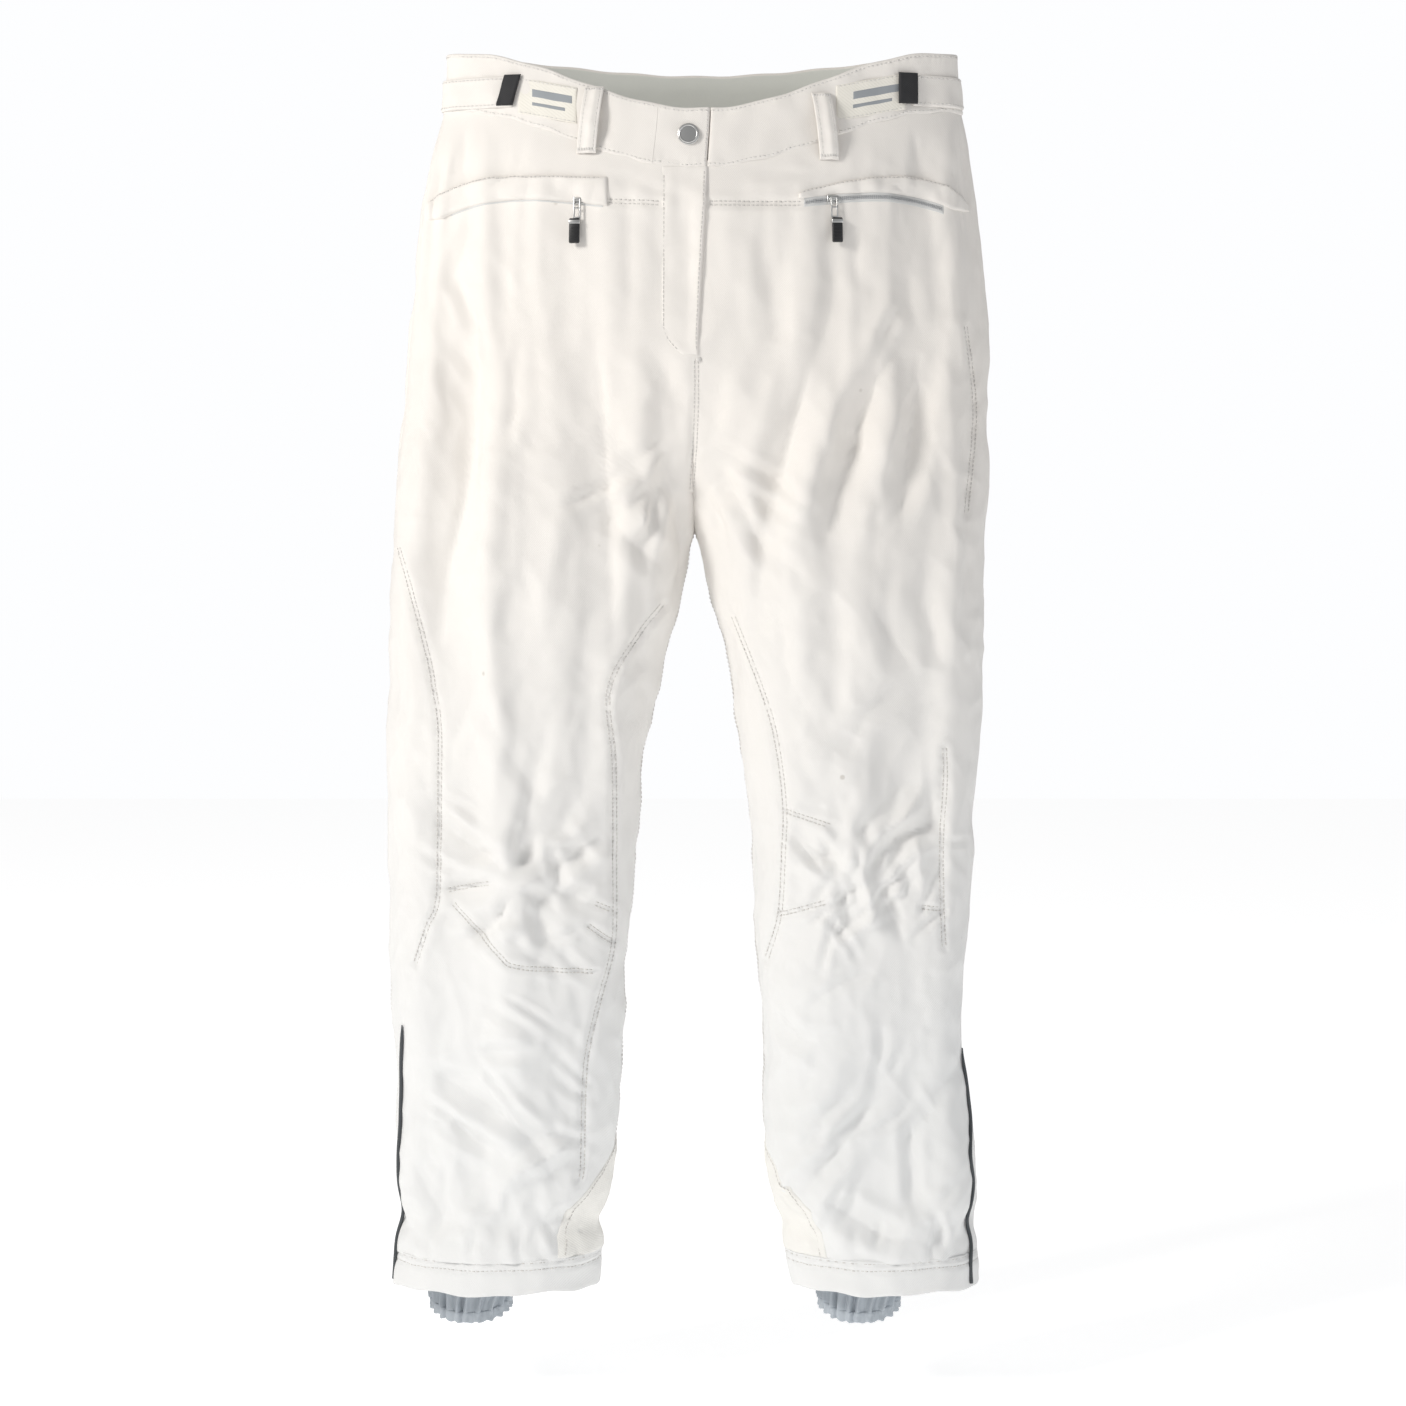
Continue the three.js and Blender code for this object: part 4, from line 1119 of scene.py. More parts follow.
def dropped(line, front=True, spacing=0.002):
    """Points of a line in millimetres, dropped on the cloth from the front or the back."""
    line = rounded(line, 12) / 1000
    steps = np.linalg.norm(np.diff(line, axis=0), axis=1)
    run = np.concatenate([[0], np.cumsum(steps)])
    where = np.arange(0, run[-1], spacing)
    points, out = [], []
    for x, z in zip(np.interp(where, run, line[:, 0]), np.interp(where, run, line[:, 1])):
        sign = -1 if front else 1
        hit, normal, _, _ = cloth_tree.ray_cast(Vector((x, sign * 0.5, z)), Vector((0, -sign, 0)))
        if hit is not None:
            if normal.y * sign < 0:
                normal.negate()
            points.append(hit[:])
            out.append(normal[:])
    return np.array(points), np.array(out)


def beside(line, shift):
    """The same line moved sideways by some millimetres."""
    line = rounded(line, 6)
    way = np.gradient(line, axis=0)
    way /= np.linalg.norm(way, axis=1, keepdims=True)
    return line + np.stack([-way[:, 1], way[:, 0]], 1) * shift


print("the fly seam drops on", len(dropped(SEAMS["front_middle"])[0]), "points")

# %% [markdown]
# The garment is cut across each thigh into an upper and a lower piece, because each piece can
# bend at one joint only. Their shared edge has the same points and normals, so it can't be seen.

# %% The four pieces of shell cloth
CLOTH = 0.0016
THIGH_CUT = -0.545             # far from both joints, where the cloth doesn't bend
split_row = cut_row + int(np.argmin(abs(base["right"][cut_row:, 0, 2] - THIGH_CUT)))
shells = {}
for side in SIDES:
    whole, shade = grids[side], normals[side]
    closed = np.arange(whole.shape[0]) >= cut_row
    upper = Sewing(f"upper_{side}", SHELL, LINING, CREASE)
    within = whole - shade * CLOTH
    part = slice(0, split_row + 1)
    closed_cloth(upper, whole[part], within[part], shade[part], 0, 1, closed[part])
    lower = Sewing(f"lower_{side}", SHELL, LINING, CREASE)
    part = slice(split_row, None)
    closed_cloth(lower, whole[part], within[part], shade[part], 0, 1, closed[part])
    shells[side] = (upper, lower)
split_z = float(base["right"][split_row, 0, 2])
print("cut at", round(split_z, 4))

# %% [markdown]
# Every seam gets two rows of stitches, one on each side of its groove. A row that crosses the cut
# is shared out between the two pieces, so that each stitch moves with the cloth it is sewn to.

# %% Topstitching on the shell
for line in SEAMS.values():
    side = "right" if np.mean([p[0] for p in line]) < 0 else "left"
    for shift in (-1.6, 1.6):
        path, out = dropped(beside(line, shift))
        above = path[:, 2] > split_z
        for sewing, chosen in zip(shells[side], (above, ~above)):
            if chosen.sum() > 3:
                stitches(sewing, path[chosen], out[chosen], 2)
for side in SIDES:
    g, n = grids[side], normals[side]
    last = g.shape[1] - 1
    runs = [(last // 2, 3, g.shape[0] - 4), (0, cut_row + 3, g.shape[0] - 4)]
    if side == "right":
        runs.append((0, 3, cut_row - 2))
    for column, first, end in runs:
        side_way = g[:, min(column + 1, last)] - g[:, max(column - 1, 0)]
        side_way /= np.linalg.norm(side_way, axis=1, keepdims=True)
        for shift in (-0.0017, 0.0017):
            path, out = g[:, column] + side_way * shift, n[:, column]
            for sewing, (low, high) in zip(shells[side], ((first, split_row), (split_row, end))):
                low, high = max(first, low), min(end, high)
                if high - low > 3:
                    stitches(sewing, path[low:high], out[low:high], 2)
print("a half's stitches and cloth have", shells["right"][0].count, "points")

# %% [markdown]
# The four pieces are made into objects. Their normals are given, because normals worked out for
# each piece alone would turn at the cut and show it as a line.

# %% Making the shell pieces
made = {}
for side in SIDES:
    upper, lower = (sewing.make(own_normals=True) for sewing in shells[side])
    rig.replaces(upper, f"front_yoke_{side}", f"front_panel_{side}", f"seat_panel_{side}",
                f"hip_fold_{side}", f"thigh_front_{side}", f"thigh_back_{side}")
    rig.replaces(lower, f"knee_fold_{side}", f"shin_front_{side}", f"shin_back_{side}")
    made[side] = (upper, lower)
    print(side, "upper", len(upper.data.polygons), "lower", len(lower.data.polygons))
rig.replaces(made["right"][0], "crotch_gusset")

# %% [markdown]
# Bands, tabs and tapes are doubled cloth. `laid` builds one: a slab that follows any surface,
# with turned edges, a little uneven, closed all round. `u` runs round the body and `v` up it.

# %% Slabs of doubled cloth


def edge_lines(cells, soft, size):
    """Even steps from 0 to 1, and lines close to each end to round the edge over."""
    e = min(0.2, soft / size)
    return np.concatenate([[0, 0.3 * e, e], np.linspace(e, 1 - e, cells + 1)[1:-1], [1 - e, 1 - 0.3 * e, 1]])


def laid(sewing, surface, size, cells, low, high, slot=0, bump=(0, 1), soft=0.0014, ring=False, shape=None,
         plain_start=False, plain_end=False):
    """Adds a slab between two depths on a surface, and returns a function for its outer face."""
    v_lines = edge_lines(cells[1], soft, size[1])[::-1]
    u_lines = np.linspace(0, 1, cells[0] + 1) if ring else edge_lines(cells[0], soft, size[0])

    def rounding(at, whole, start=False, end=False):
        e = min(0.2, soft / whole)
        near = np.clip(np.minimum(at + start, 1 - at + end) / e, 0, 1)
        return 0.25 + 0.75 * np.sqrt(1 - (1 - near) ** 2)

    def face(u, v, inner=False):
        u, v = np.broadcast_arrays(np.asarray(u, float), np.asarray(v, float))
        e = 0.004
        p = surface(u, v)
        if ring:
            du = surface(u + e, v) - surface(u - e, v)
        else:
            du = surface(np.minimum(1, u + e), v) - surface(np.maximum(0, u - e), v)
        dv = surface(u, np.minimum(1, v + e)) - surface(u, np.maximum(0, v - e))
        n = np.cross(du, dv)
        n /= np.maximum(np.linalg.norm(n, axis=-1, keepdims=True), 1e-12)
        round_off = rounding(v, size[1]) * (1 if ring else rounding(u, size[0], plain_start, plain_end))
        depth = high + bump[0] * crinkle(p, bump[1])
        if shape is not None:
            depth = depth + shape(u, v)
        if inner:
            return p + n * low
        return p + n * (low + (depth - low) * round_off)[..., None], n

    u, v = np.meshgrid(u_lines, v_lines)
    outer, n = face(u, v)
    inner = face(u, v, inner=True)
    rows = np.ones(len(v_lines), bool) if ring else None
    closed_cloth(sewing, outer, inner, n, slot, slot, rows)
    return face


print("steps over a 10 mm strip", (1000 * 0.010 * edge_lines(4, 0.0014, 0.010)).round(1))

# %% [markdown]
# The trims are placed by x and z, as they are seen from the front. These helpers turn such a place
# into a place on the plain waist, and read a trim's corners from its node in the frame.

# %% Places on the waist


def row_of_stitches(sewing, face, u, v, slot, **sizes):
    path, out = face(u, v)
    stitches(sewing, path, out, slot, **sizes)


def hip_middle(z):
    right, left = read(hip_levels, hip_rows, z, 0), read(hip_levels, hip_rows, z, 1)
    return (left + right) / 2, (left - right) / 2


def turn_at(x, z=-0.06):
    """The angle from the middle of a side at which the front reaches x."""
    middle_x, half = hip_middle(z)
    return np.degrees(np.arccos(np.clip((x - middle_x) / half, -1, 1)))


def band(turn_a, turn_b, low_edge, high_edge):
    def surface(u, v):
        turn = turn_a + (turn_b - turn_a) * u
        x = hip_point(turn, -0.06)[..., 0]
        return hip_point(turn, low_edge(x) + (high_edge(x) - low_edge(x)) * v)
    return surface


def front_spot(x, z):
    """A point on the plain front of the hips."""
    return hip_point(360 - turn_at(x, z), z)


def corners(node):
    """x at both ends of a node, and its low and high z there."""
    points = np.array([v.co[:] for v in frame["nodes"][node].data.vertices])
    low, high = points[:, 0].min(), points[:, 0].max()
    ends = []
    for edge in (low, high):
        z = points[abs(points[:, 0] - edge) < 0.0022][:, 2]
        ends.append((edge, z.min(), z.max()))
    return ends


def patch_surface(ends):
    (x0, a0, b0), (x1, a1, b1) = ends

    def surface(u, v):
        x = x0 + (x1 - x0) * u
        low, high = a0 + (a1 - a0) * u, b0 + (b1 - b0) * u
        return front_spot(x, low + (high - low) * v)
    return surface


print("angle of the tab's root", turn_at(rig.box("waistband_front_right")[1][0]).round(2))

# %% [markdown]
# The waistband is four layers thick and a little puckered by its topstitching. Its right half
# ends in the tab that carries the snap, and its left half runs on under it.

# %% Edges of the waistband


def front_low(x):
    return dip(x, FRONT_DIP) - BAND_TALL + 0.0006 * np.sin(x * 190)


def front_high(x):
    return dip(x, FRONT_DIP) + 0.0005 * np.sin(x * 140 + 1)


def back_low(x):
    return dip(x, BACK_DIP) - BAND_TALL


def back_high(x):
    return dip(x, BACK_DIP) + 0.0005 * np.sin(x * 120 + 2)


tab_root, tab_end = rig.box("waistband_front_right")[1][0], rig.box("waist_tab")[1][0]
BAND_OUT, BAND_IN = 0.0010, -0.0030


def puckers(rate, deep):
    def shape(u, v):
        edge = np.exp(-((v - 0.07) / 0.06) ** 2) + 0.7 * np.exp(-((v - 0.93) / 0.06) ** 2)
        return -deep * edge * (0.6 + 0.4 * np.sin(u * rate + 2 * np.sin(u * rate * 0.23)))
    return shape


def band_piece(name, turn_a, turn_b, low_edge, high_edge, cells, rate, **ends):
    sewing = Sewing(name, SHELL, THREAD)
    start, end = hip_point(np.array([turn_a, turn_b]), -0.05)
    long = np.linalg.norm(end - start) * 1.15
    face = laid(sewing, band(turn_a, turn_b, low_edge, high_edge), (long, BAND_TALL), cells,
                BAND_IN, BAND_OUT, bump=(0.0016, 0.021), shape=puckers(rate, 0.0006), **ends)
    u = np.linspace(0.002, 0.998, cells[0] * 4)
    row_of_stitches(sewing, face, u, 0.055 + 0 * u, 1)
    row_of_stitches(sewing, face, u, 0.94 + 0 * u, 1)
    return sewing, face


print("the tab runs from", round(tab_root, 4), "to", round(tab_end, 4))

# %% [markdown]
# Three bands ride on the hips. The left one has a second layer that runs on under the tab and
# carries the lower half of the snap.

# %% Three bands
right_band, _ = band_piece("waistband_right", 180, 360 - turn_at(tab_root), front_low, front_high,
                           (110, 14), 130, plain_end=True)
left_band, _ = band_piece("waistband_left", 360 - turn_at(tab_end + 0.0004), 360, front_low, front_high,
                          (130, 14), 150)
laid(left_band, band(360 - turn_at(tab_root + 0.0015), 360 - turn_at(tab_end + 0.004), front_low, front_high),
     (0.045, BAND_TALL), (12, 6), -0.0072, -0.0058)
back_band, _ = band_piece("waistband_back_cloth", 0, 180, back_low, back_high, (170, 12), 230)
band_objects = [right_band.make(), left_band.make(), back_band.make()]
for piece, node in zip(band_objects, ("waistband_front_right", "waistband_front_left", "waistband_back")):
    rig.ride(piece, "hips")
    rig.replaces(piece, node)

print(len(band_objects), "bands")

# %% [markdown]
# The tab turns on its own, so it is its own piece. Its root is left square, so that it meets the
# band's end without a notch, and stitches run round its three free sides.

# %% Waist tab
tab = Sewing("waist_tab_cloth", SHELL, THREAD)
tab_face = laid(tab, band(360 - turn_at(tab_root + 0.00005), 360 - turn_at(tab_end), front_low, front_high),
                (tab_end - tab_root, BAND_TALL), (34, 14), -0.0022, BAND_OUT, bump=(0.0016, 0.021),
                shape=puckers(30, 0.0006), plain_start=True)
v = np.linspace(0.06, 0.94, 60)
row_of_stitches(tab, tab_face, 0.955 + 0 * v, v, 1)
u = np.linspace(0.0, 0.955, 60)
row_of_stitches(tab, tab_face, u, 0.055 + 0 * u, 1)
row_of_stitches(tab, tab_face, u, 0.94 + 0 * u, 1)
tab_piece = tab.make()
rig.ride(tab_piece, "waist_tab")
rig.replaces(tab_piece, "waist_tab")

print("tab", round((tab_end - tab_root) * 1000, 1), "mm long")

# %% [markdown]
# Inside the back of the waist the paler lining shows over the front edge. It is a strip that lies
# on the band's inner face.

# %% Inner facing
facing = Sewing("inner_facing", LINING, CREASE)
laid(facing, band(14, 166, lambda x: back_low(x) - 0.014, lambda x: back_high(x) - 0.002),
     (0.36, 0.062), (150, 14), -0.0046, -0.0037, bump=(0.0008, 0.02))
facing_piece = facing.make()
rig.ride(facing_piece, "hips")
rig.replaces(facing_piece, "waist_facing")
print("facing", len(facing_piece.data.polygons), "faces")

# %% [markdown]
# Everything on the hips' front lies on the folded cloth. A point is put there along y, or moved
# to the nearest place of the cloth where its surface turns away from the front.

# %% Lying on the cloth


def on_cloth(x, z):
    x, z = np.broadcast_arrays(np.asarray(x, float), np.asarray(z, float))
    out = np.empty((*x.shape, 3))
    for where in np.ndindex(x.shape):
        start = Vector((x[where], -0.5, z[where]))
        hit, _, _, _ = cloth_tree.ray_cast(start, Vector((0, 1, 0)))
        if hit is None:
            hit, _, _, _ = cloth_tree.find_nearest(Vector((x[where], -0.03, z[where])))
        out[where] = hit[:]
    return out


def pressed(points):
    """Points moved to the nearest place on the cloth."""
    points = np.asarray(points, float)
    out = np.empty_like(points)
    for where in np.ndindex(points.shape[:-1]):
        out[where] = cloth_tree.find_nearest(Vector(points[where]))[0][:]
    return out


print("middle of the front lies at", on_cloth(0.0, -0.2).round(4))

# %% [markdown]
# The fly is a flap that is sewn down on one side. Its free edge stands a little proud and throws
# the thin shadow that shows the opening, with a row of stitches close to each long edge.

# %% Fly flap
fly_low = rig.box("fly_guard")[0][2]
fly_high = front_low(0.0) + 0.002


def fly_edge(z):
    return np.interp(z, [fly_low, fly_high], [-0.002, 0.0065])


def fly_surface(u, v):
    z = fly_low + (fly_high - fly_low) * v
    left_x = -0.0315 + 0.018 * np.clip(1 - v / 0.16, 0, 1) ** 2
    return on_cloth(left_x + (fly_edge(z) - left_x) * u, z)


def flap_shape(u, v):
    proud = 0.0030 * ease((u - 0.62) / 0.38) * np.sin(np.pi * np.clip(v, 0.02, 0.98)) ** 0.5
    return -0.0006 * ease(1 - u / 0.3) + proud


flap = Sewing("fly_flap", SHELL, CREASE, THREAD)
flap_face = laid(flap, fly_surface, (0.036, fly_high - fly_low), (16, 56), -0.0004, 0.0007, soft=0.0016,
                 bump=(0.0008, 0.012), shape=flap_shape)
v = np.linspace(0.03, 0.97, 110)
row_of_stitches(flap, flap_face, 0.93 + 0 * v, v, 1)
row_of_stitches(flap, flap_face, 0.05 + 0 * v, v, 1)
flap_piece = flap.make()
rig.ride(flap_piece, "hips")
print("fly from", round(fly_low, 4), "to", round(float(fly_high), 4))

# %% [markdown]
# A bar tack of five threads locks the fly's foot, and behind the flap lie the zip's tape and its
# guard. They are hardly seen, so each is one plain strip inside the cloth.

# %% Bar tack, fly zip and guard
bar = Sewing("fly_bar_tack", THREAD)
path, out = dropped([(-3.5, -257), (3, -256)])
for k in range(5):
    row = path + np.array([0, 0, 0.0006 * (k - 2)]) + out * 0.0008
    stitches(bar, row, out, 0, length=0.0045, gap=0, width=0.0004)
bar_piece = bar.make()
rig.ride(bar_piece, "hips")

fly_under = Sewing("fly_zip_and_guard", TAPE, SHELL)
laid(fly_under, lambda u, v: on_cloth(-0.009 + 0.018 * u, fly_low + 0.015 + (fly_high - fly_low - 0.016) * v),
     (0.018, fly_high - fly_low), (4, 30), -0.0034, -0.0024)
laid(fly_under, lambda u, v: on_cloth(-0.024 + 0.046 * u, fly_low + (fly_high - fly_low - 0.001) * v),
     (0.046, fly_high - fly_low), (8, 30), -0.0050, -0.0040, slot=1)
piece = fly_under.make()
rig.ride(piece, "hips")
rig.replaces(piece, "fly_zip", "fly_guard")
print("bar tack", len(bar_piece.data.polygons), "faces")

# %% [markdown]
# A pocket mouth is a slot in the seam: a tape with a coil of teeth, and over it a soft welt. Its
# line is read from the frame's zip node, as the mean height of nine slices along it.

# %% Pocket lines


def mean_line(node):
    points = np.array([v.co[:] for v in frame["nodes"][node].data.vertices])
    order = np.argsort(points[:, 0])
    groups = np.array_split(points[order], 9)
    x = np.array([g[:, 0].mean() for g in groups])
    return x, np.array([(g[:, 2].min() + g[:, 2].max()) / 2 for g in groups])


WELT_TOP = {
    "right": [(-228, -124), (-214, -116), (-198, -110), (-171, -105), (-125, -105), (-78, -107)],
    "left": [(82, -121), (91, -117), (116, -111), (139, -107), (167, -104), (190, -107), (207, -111),
             (226, -126)],
}
zip_lines = {side: mean_line(f"pocket_zip_{side}") for side in SIDES}
zip_ends = {side: [corner[0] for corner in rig.box(f"pocket_zip_{side}")] for side in SIDES}


def zip_at(side, x):
    """The height of a zip's middle line at x, as a smooth curve through its frame node."""
    zip_x, zip_z = zip_lines[side]
    return np.polyval(np.polyfit(zip_x, zip_z, 3), np.clip(x, zip_x[0] - 0.008, zip_x[-1] + 0.008))


print("zips from", {s: (zip_lines[s][0][[0, -1]] * 1000).round() for s in SIDES})

# %% [markdown]
# The zip is a tape that lies on the cloth, and its closed coil is two rows of short, thick
# stitches side by side: the stitch helper makes teeth as well as thread.

# %% Zip tape and coil


def zip_tape(side):
    x0, x1 = zip_ends[side]

    def tape_surface(u, v):
        x = x0 + (x1 - x0) * u
        return on_cloth(x, zip_at(side, x) + 0.008 * (v - 0.5))

    tape = Sewing(f"zip_{side}", TAPE, COIL)
    face = laid(tape, tape_surface, (x1 - x0, 0.008), (60, 4), -0.0006, 0.0004)
    u = np.linspace(0.01, 0.99, 200)
    path, out = face(u, 0.5 + 0 * u)
    for shift in (-1, 1):
        stitches(tape, path + np.array([0, 0, 0.0007 * shift]), out, 1, length=0.0011, gap=0.0005,
                 width=0.0009, high=0.0007)
    piece = tape.make()
    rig.ride(piece, "hips")
    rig.replaces(piece, f"pocket_zip_{side}")


print("a zip is", round(1000 * (zip_ends["right"][1] - zip_ends["right"][0])), "mm long")

# %% [markdown]
# The welt is a soft lip over the zip. On the wearer's right it hangs over the zip and hides it,
# and on the left it stands back and shows it, so the two differ in reach and in height.

# %% Welts
WELT_OVER = {"right": -0.0024, "left": 0.0034}
WELT_RISE = {"right": 0.0026, "left": 0.0012}


def welt_shape(u, v):
    roll = np.sin(np.pi * np.clip(0.25 + 0.75 * (1 - v), 0, 1))
    return 0.0020 * roll * np.sin(np.pi * np.clip(u, 0.03, 0.97)) ** 0.5


def pocket_welt(side):
    top = np.array(WELT_TOP[side], float) / 1000
    w0, w1 = top[0, 0], top[-1, 0]
    if side == "right":
        w1 = zip_ends[side][1] + 0.003
    else:
        w0 = zip_ends[side][0] - 0.004

    def welt_surface(u, v):
        x = w0 + (w1 - w0) * u
        low = zip_at(side, x) + WELT_OVER[side]
        high = np.maximum(np.interp(x, top[:, 0], top[:, 1]), low + 0.002)
        return on_cloth(x, low + (high - low) * v)

    welt = Sewing(f"pocket_welt_{side}", SHELL, CREASE)
    face = laid(welt, welt_surface, (w1 - w0, 0.016), (90, 10), -0.0005, WELT_RISE[side], soft=0.002,
                bump=(0.0022, 0.016), shape=welt_shape)
    u = np.linspace(0.02, 0.98, 240)
    row_of_stitches(welt, face, u, 0.93 + 0 * u, 1)
    piece = welt.make()
    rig.ride(piece, "hips")


print("welts rise", WELT_RISE)

# %% [markdown]
# The pocket bag hangs inside from its zip. Nobody sees more of it than a glimpse through the
# waist, but a pocket without a bag would be wrong, and the bag also keeps the inside opaque.

# %% Pocket bags


def pocket_bag(side):
    bag = Sewing(f"bag_{side}", LINING, CREASE)
    (x0, _, z0), (x1, _, _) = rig.box(f"pocket_bag_{side}")

    def bag_surface(u, v):
        x = x0 + (x1 - x0) * u
        return on_cloth(x, z0 + (zip_at(side, x) - 0.001 - z0) * v)

    laid(bag, bag_surface, (x1 - x0, 0.17), (24, 32), -0.0056, -0.0030)
    piece = bag.make()
    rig.ride(piece, "hips")
    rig.replaces(piece, f"pocket_bag_{side}")


for side in SIDES:
    zip_tape(side)
    pocket_welt(side)
    pocket_bag(side)
print("pockets made on", SIDES)

# %% [markdown]
# A belt loop is a folded strip that bows out over the band between its two bar tacks. Its outer
# face is a grid that leans with the frame's loop, and a ridge runs up it where the fold lies.

# %% Belt loops
LOOP_CLOTH = 0.0016


def loop_shape(u, v):
    bow = 0.0065 * np.sin(np.pi * np.clip(v, 0, 1)) ** 0.6
    ridge = 0.0016 * np.exp(-((u - 0.62) / 0.22) ** 2)
    return bow + ridge


def belt_loop(side):
    low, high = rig.box(f"belt_loop_{side}")[0][2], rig.box(f"belt_loop_{side}")[1][2]
    a0, a1 = slice_box([f"belt_loop_{side}"], low + 0.004)[:2]
    b0, b1 = slice_box([f"belt_loop_{side}"], high - 0.004)[:2]

    def loop_surface(u, v):
        wide = (a1 - a0) + ((b1 - b0) - (a1 - a0)) * v
        return front_spot((a0 + (b0 - a0) * v) + wide * u, low + (high - low) * v)

    loop = Sewing(f"loop_{side}", SHELL, THREAD)
    v_lines = edge_lines(30, 0.0012, high - low)[::-1]
    u_lines = edge_lines(10, 0.0012, 0.0155)
    U, V = np.meshgrid(u_lines, v_lines)
    p = loop_surface(U, V)
    n = np.cross(np.gradient(p, axis=0), np.gradient(p, axis=1))
    n /= np.linalg.norm(n, axis=-1, keepdims=True)
    out = 0.0012 + loop_shape(U, V) + 0.0008 * crinkle(p, 0.01, 3)
    round_off = 0.0006 * (np.minimum(U, 1 - U) < 0.01)
    closed_cloth(loop, p + n * (out + LOOP_CLOTH - round_off)[..., None], p + n * out[..., None], n, 0, 0)
    for share in (0.16, 0.84):
        column = int(np.argmin(abs(u_lines - share)))
        path = (p + n * (out + LOOP_CLOTH)[..., None])[2:-2, column]
        stitches(loop, path, n[2:-2, column], 1, width=0.0003, high=0.0003)
    for share in (0.045, 0.955):
        row = int(np.argmin(abs(v_lines - share)))
        path = (p + n * (out + LOOP_CLOTH)[..., None])[row, 1:-1]
        for k in range(3):
            thread = path + np.array([0, 0, 0.0006 * (k - 1)])
            stitches(loop, thread, n[row, 1:-1], 1, length=0.0021, gap=0.0002)
    piece = loop.make()
    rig.ride(piece, "hips")
    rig.replaces(piece, f"belt_loop_{side}")


print("loop cloth", LOOP_CLOTH, "m thick")

# %% [markdown]
# A cream patch is sewn flat on the band at each side. It carries two plain woven bars where a
# maker would weave a name, each a very thin slab that stands a little out of the patch.

# %% Waist patches
BARS = ((0.24, 0.92, 0.52, 0.74), (0.24, 0.80, 0.28, 0.38))     # left, right, low, high shares


def waist_patch(side):
    label = Sewing(f"patch_{side}", CREAM, THREAD, MARK)
    ends = corners(f"waist_patch_{side}")
    wide = ends[1][0] - ends[0][0]
    face = laid(label, patch_surface(ends), (wide, 0.030), (40, 18), BAND_OUT - 0.0003, BAND_OUT + 0.0009,
                bump=(0.0007, 0.014))
    for v_at in (0.045, 0.955):
        u = np.linspace(0.03, 0.97, 120)
        row_of_stitches(label, face, u, v_at + 0 * u, 1, width=0.0003, high=0.0003)
    plain = patch_surface(ends)
    for u0, u1, v0, v1 in BARS:

        def bar_surface(u, v, u0=u0, u1=u1, v0=v0, v1=v1):
            return plain(u0 + (u1 - u0) * u, v0 + (v1 - v0) * v)

        laid(label, bar_surface, (wide * (u1 - u0), 0.03 * (v1 - v0)), (20, 4), BAND_OUT + 0.0006,
             BAND_OUT + 0.0010, slot=2, bump=(0.0007, 0.014), soft=0.0004)
    piece = label.make()
    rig.ride(piece, "hips")
    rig.replaces(piece, f"waist_patch_{side}")


for side in SIDES:
    belt_loop(side)
    waist_patch(side)
print(len(BARS), "plain bars on each patch")

# %% [markdown]
# The adjuster is a strap that lies on the band round the side, and a stiff black end to pull it
# by. Strap and end ride on the same body, which peels off the band from the strap's root.

# %% Adjusters
strap_ends = {"right": (172, 360 - turn_at(-0.157)), "left": (360 - turn_at(0.178), 368)}
for side in SIDES:
    low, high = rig.box(f"adjuster_strap_{side}")[0][2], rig.box(f"adjuster_strap_{side}")[1][2]
    a, b = strap_ends[side]
    strap = Sewing(f"strap_{side}", SHELL, THREAD)
    face = laid(strap, band(a, b, lambda x: low + 0 * x, lambda x: high + 0 * x), (0.072, high - low), (40, 12),
                BAND_OUT + 0.0002, BAND_OUT + 0.0022, bump=(0.0016, 0.018))
    u = np.linspace(0.02, 0.98, 120)
    for v_at in (0.09, 0.91):
        row_of_stitches(strap, face, u, v_at + 0 * u, 1)
    piece = strap.make()
    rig.ride(piece, f"adjuster_{side}")
    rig.replaces(piece, f"adjuster_strap_{side}")
    pull = Sewing(f"pull_{side}", STRAP_BLACK)
    (x0, a0, b0), (x1, a1, b1) = corners(f"adjuster_pull_{side}")
    lean = 0.0035 if side == "right" else 0.0

    def pull_surface(u, v, x0=x0, x1=x1, a0=a0, b0=b0, lean=lean):
        x = x0 + 0.002 + (x1 - x0 - 0.004) * u + lean * (2 * v - 1)
        return front_spot(x, a0 + (b0 - a0) * v)

    laid(pull, pull_surface, (x1 - x0, b0 - a0), (14, 12), BAND_OUT + 0.0024, BAND_OUT + 0.0048,
         bump=(0.0008, 0.008))
    piece = pull.make()
    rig.ride(piece, f"adjuster_{side}")
    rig.replaces(piece, f"adjuster_pull_{side}")
print("straps turn from", {side: np.round(ends, 1) for side, ends in strap_ends.items()})

# %% [markdown]
# Metal and moulded parts are modelled as solids with Blender's own tools, at the place and lie
# that the frame gives them, and each rides on the body that it moves with.

# %% Solid parts with Blender's tools


def lie_of(node):
    """The middle of a node and its three directions: across, up and out of the cloth."""
    points = np.array([v.co[:] for v in frame["nodes"][node].data.vertices])
    points = np.unique(points.round(6), axis=0)
    middle_point = (points.min(0) + points.max(0)) / 2
    x, z = middle_point[0], middle_point[2]
    e = 0.004
    across = front_spot(x + e, z) - front_spot(x - e, z)
    up = front_spot(x, z + e) - front_spot(x, z - e)
    out = np.cross(across, up)
    out /= np.linalg.norm(out)
    across /= np.linalg.norm(across)
    turn = Matrix((across, np.cross(out, across), out)).transposed()
    local = (points - middle_point) @ np.array(turn)
    size = local.max(0) - local.min(0)
    centre = middle_point + np.array(turn) @ ((local.max(0) + local.min(0)) / 2)
    return Vector(centre), turn, size


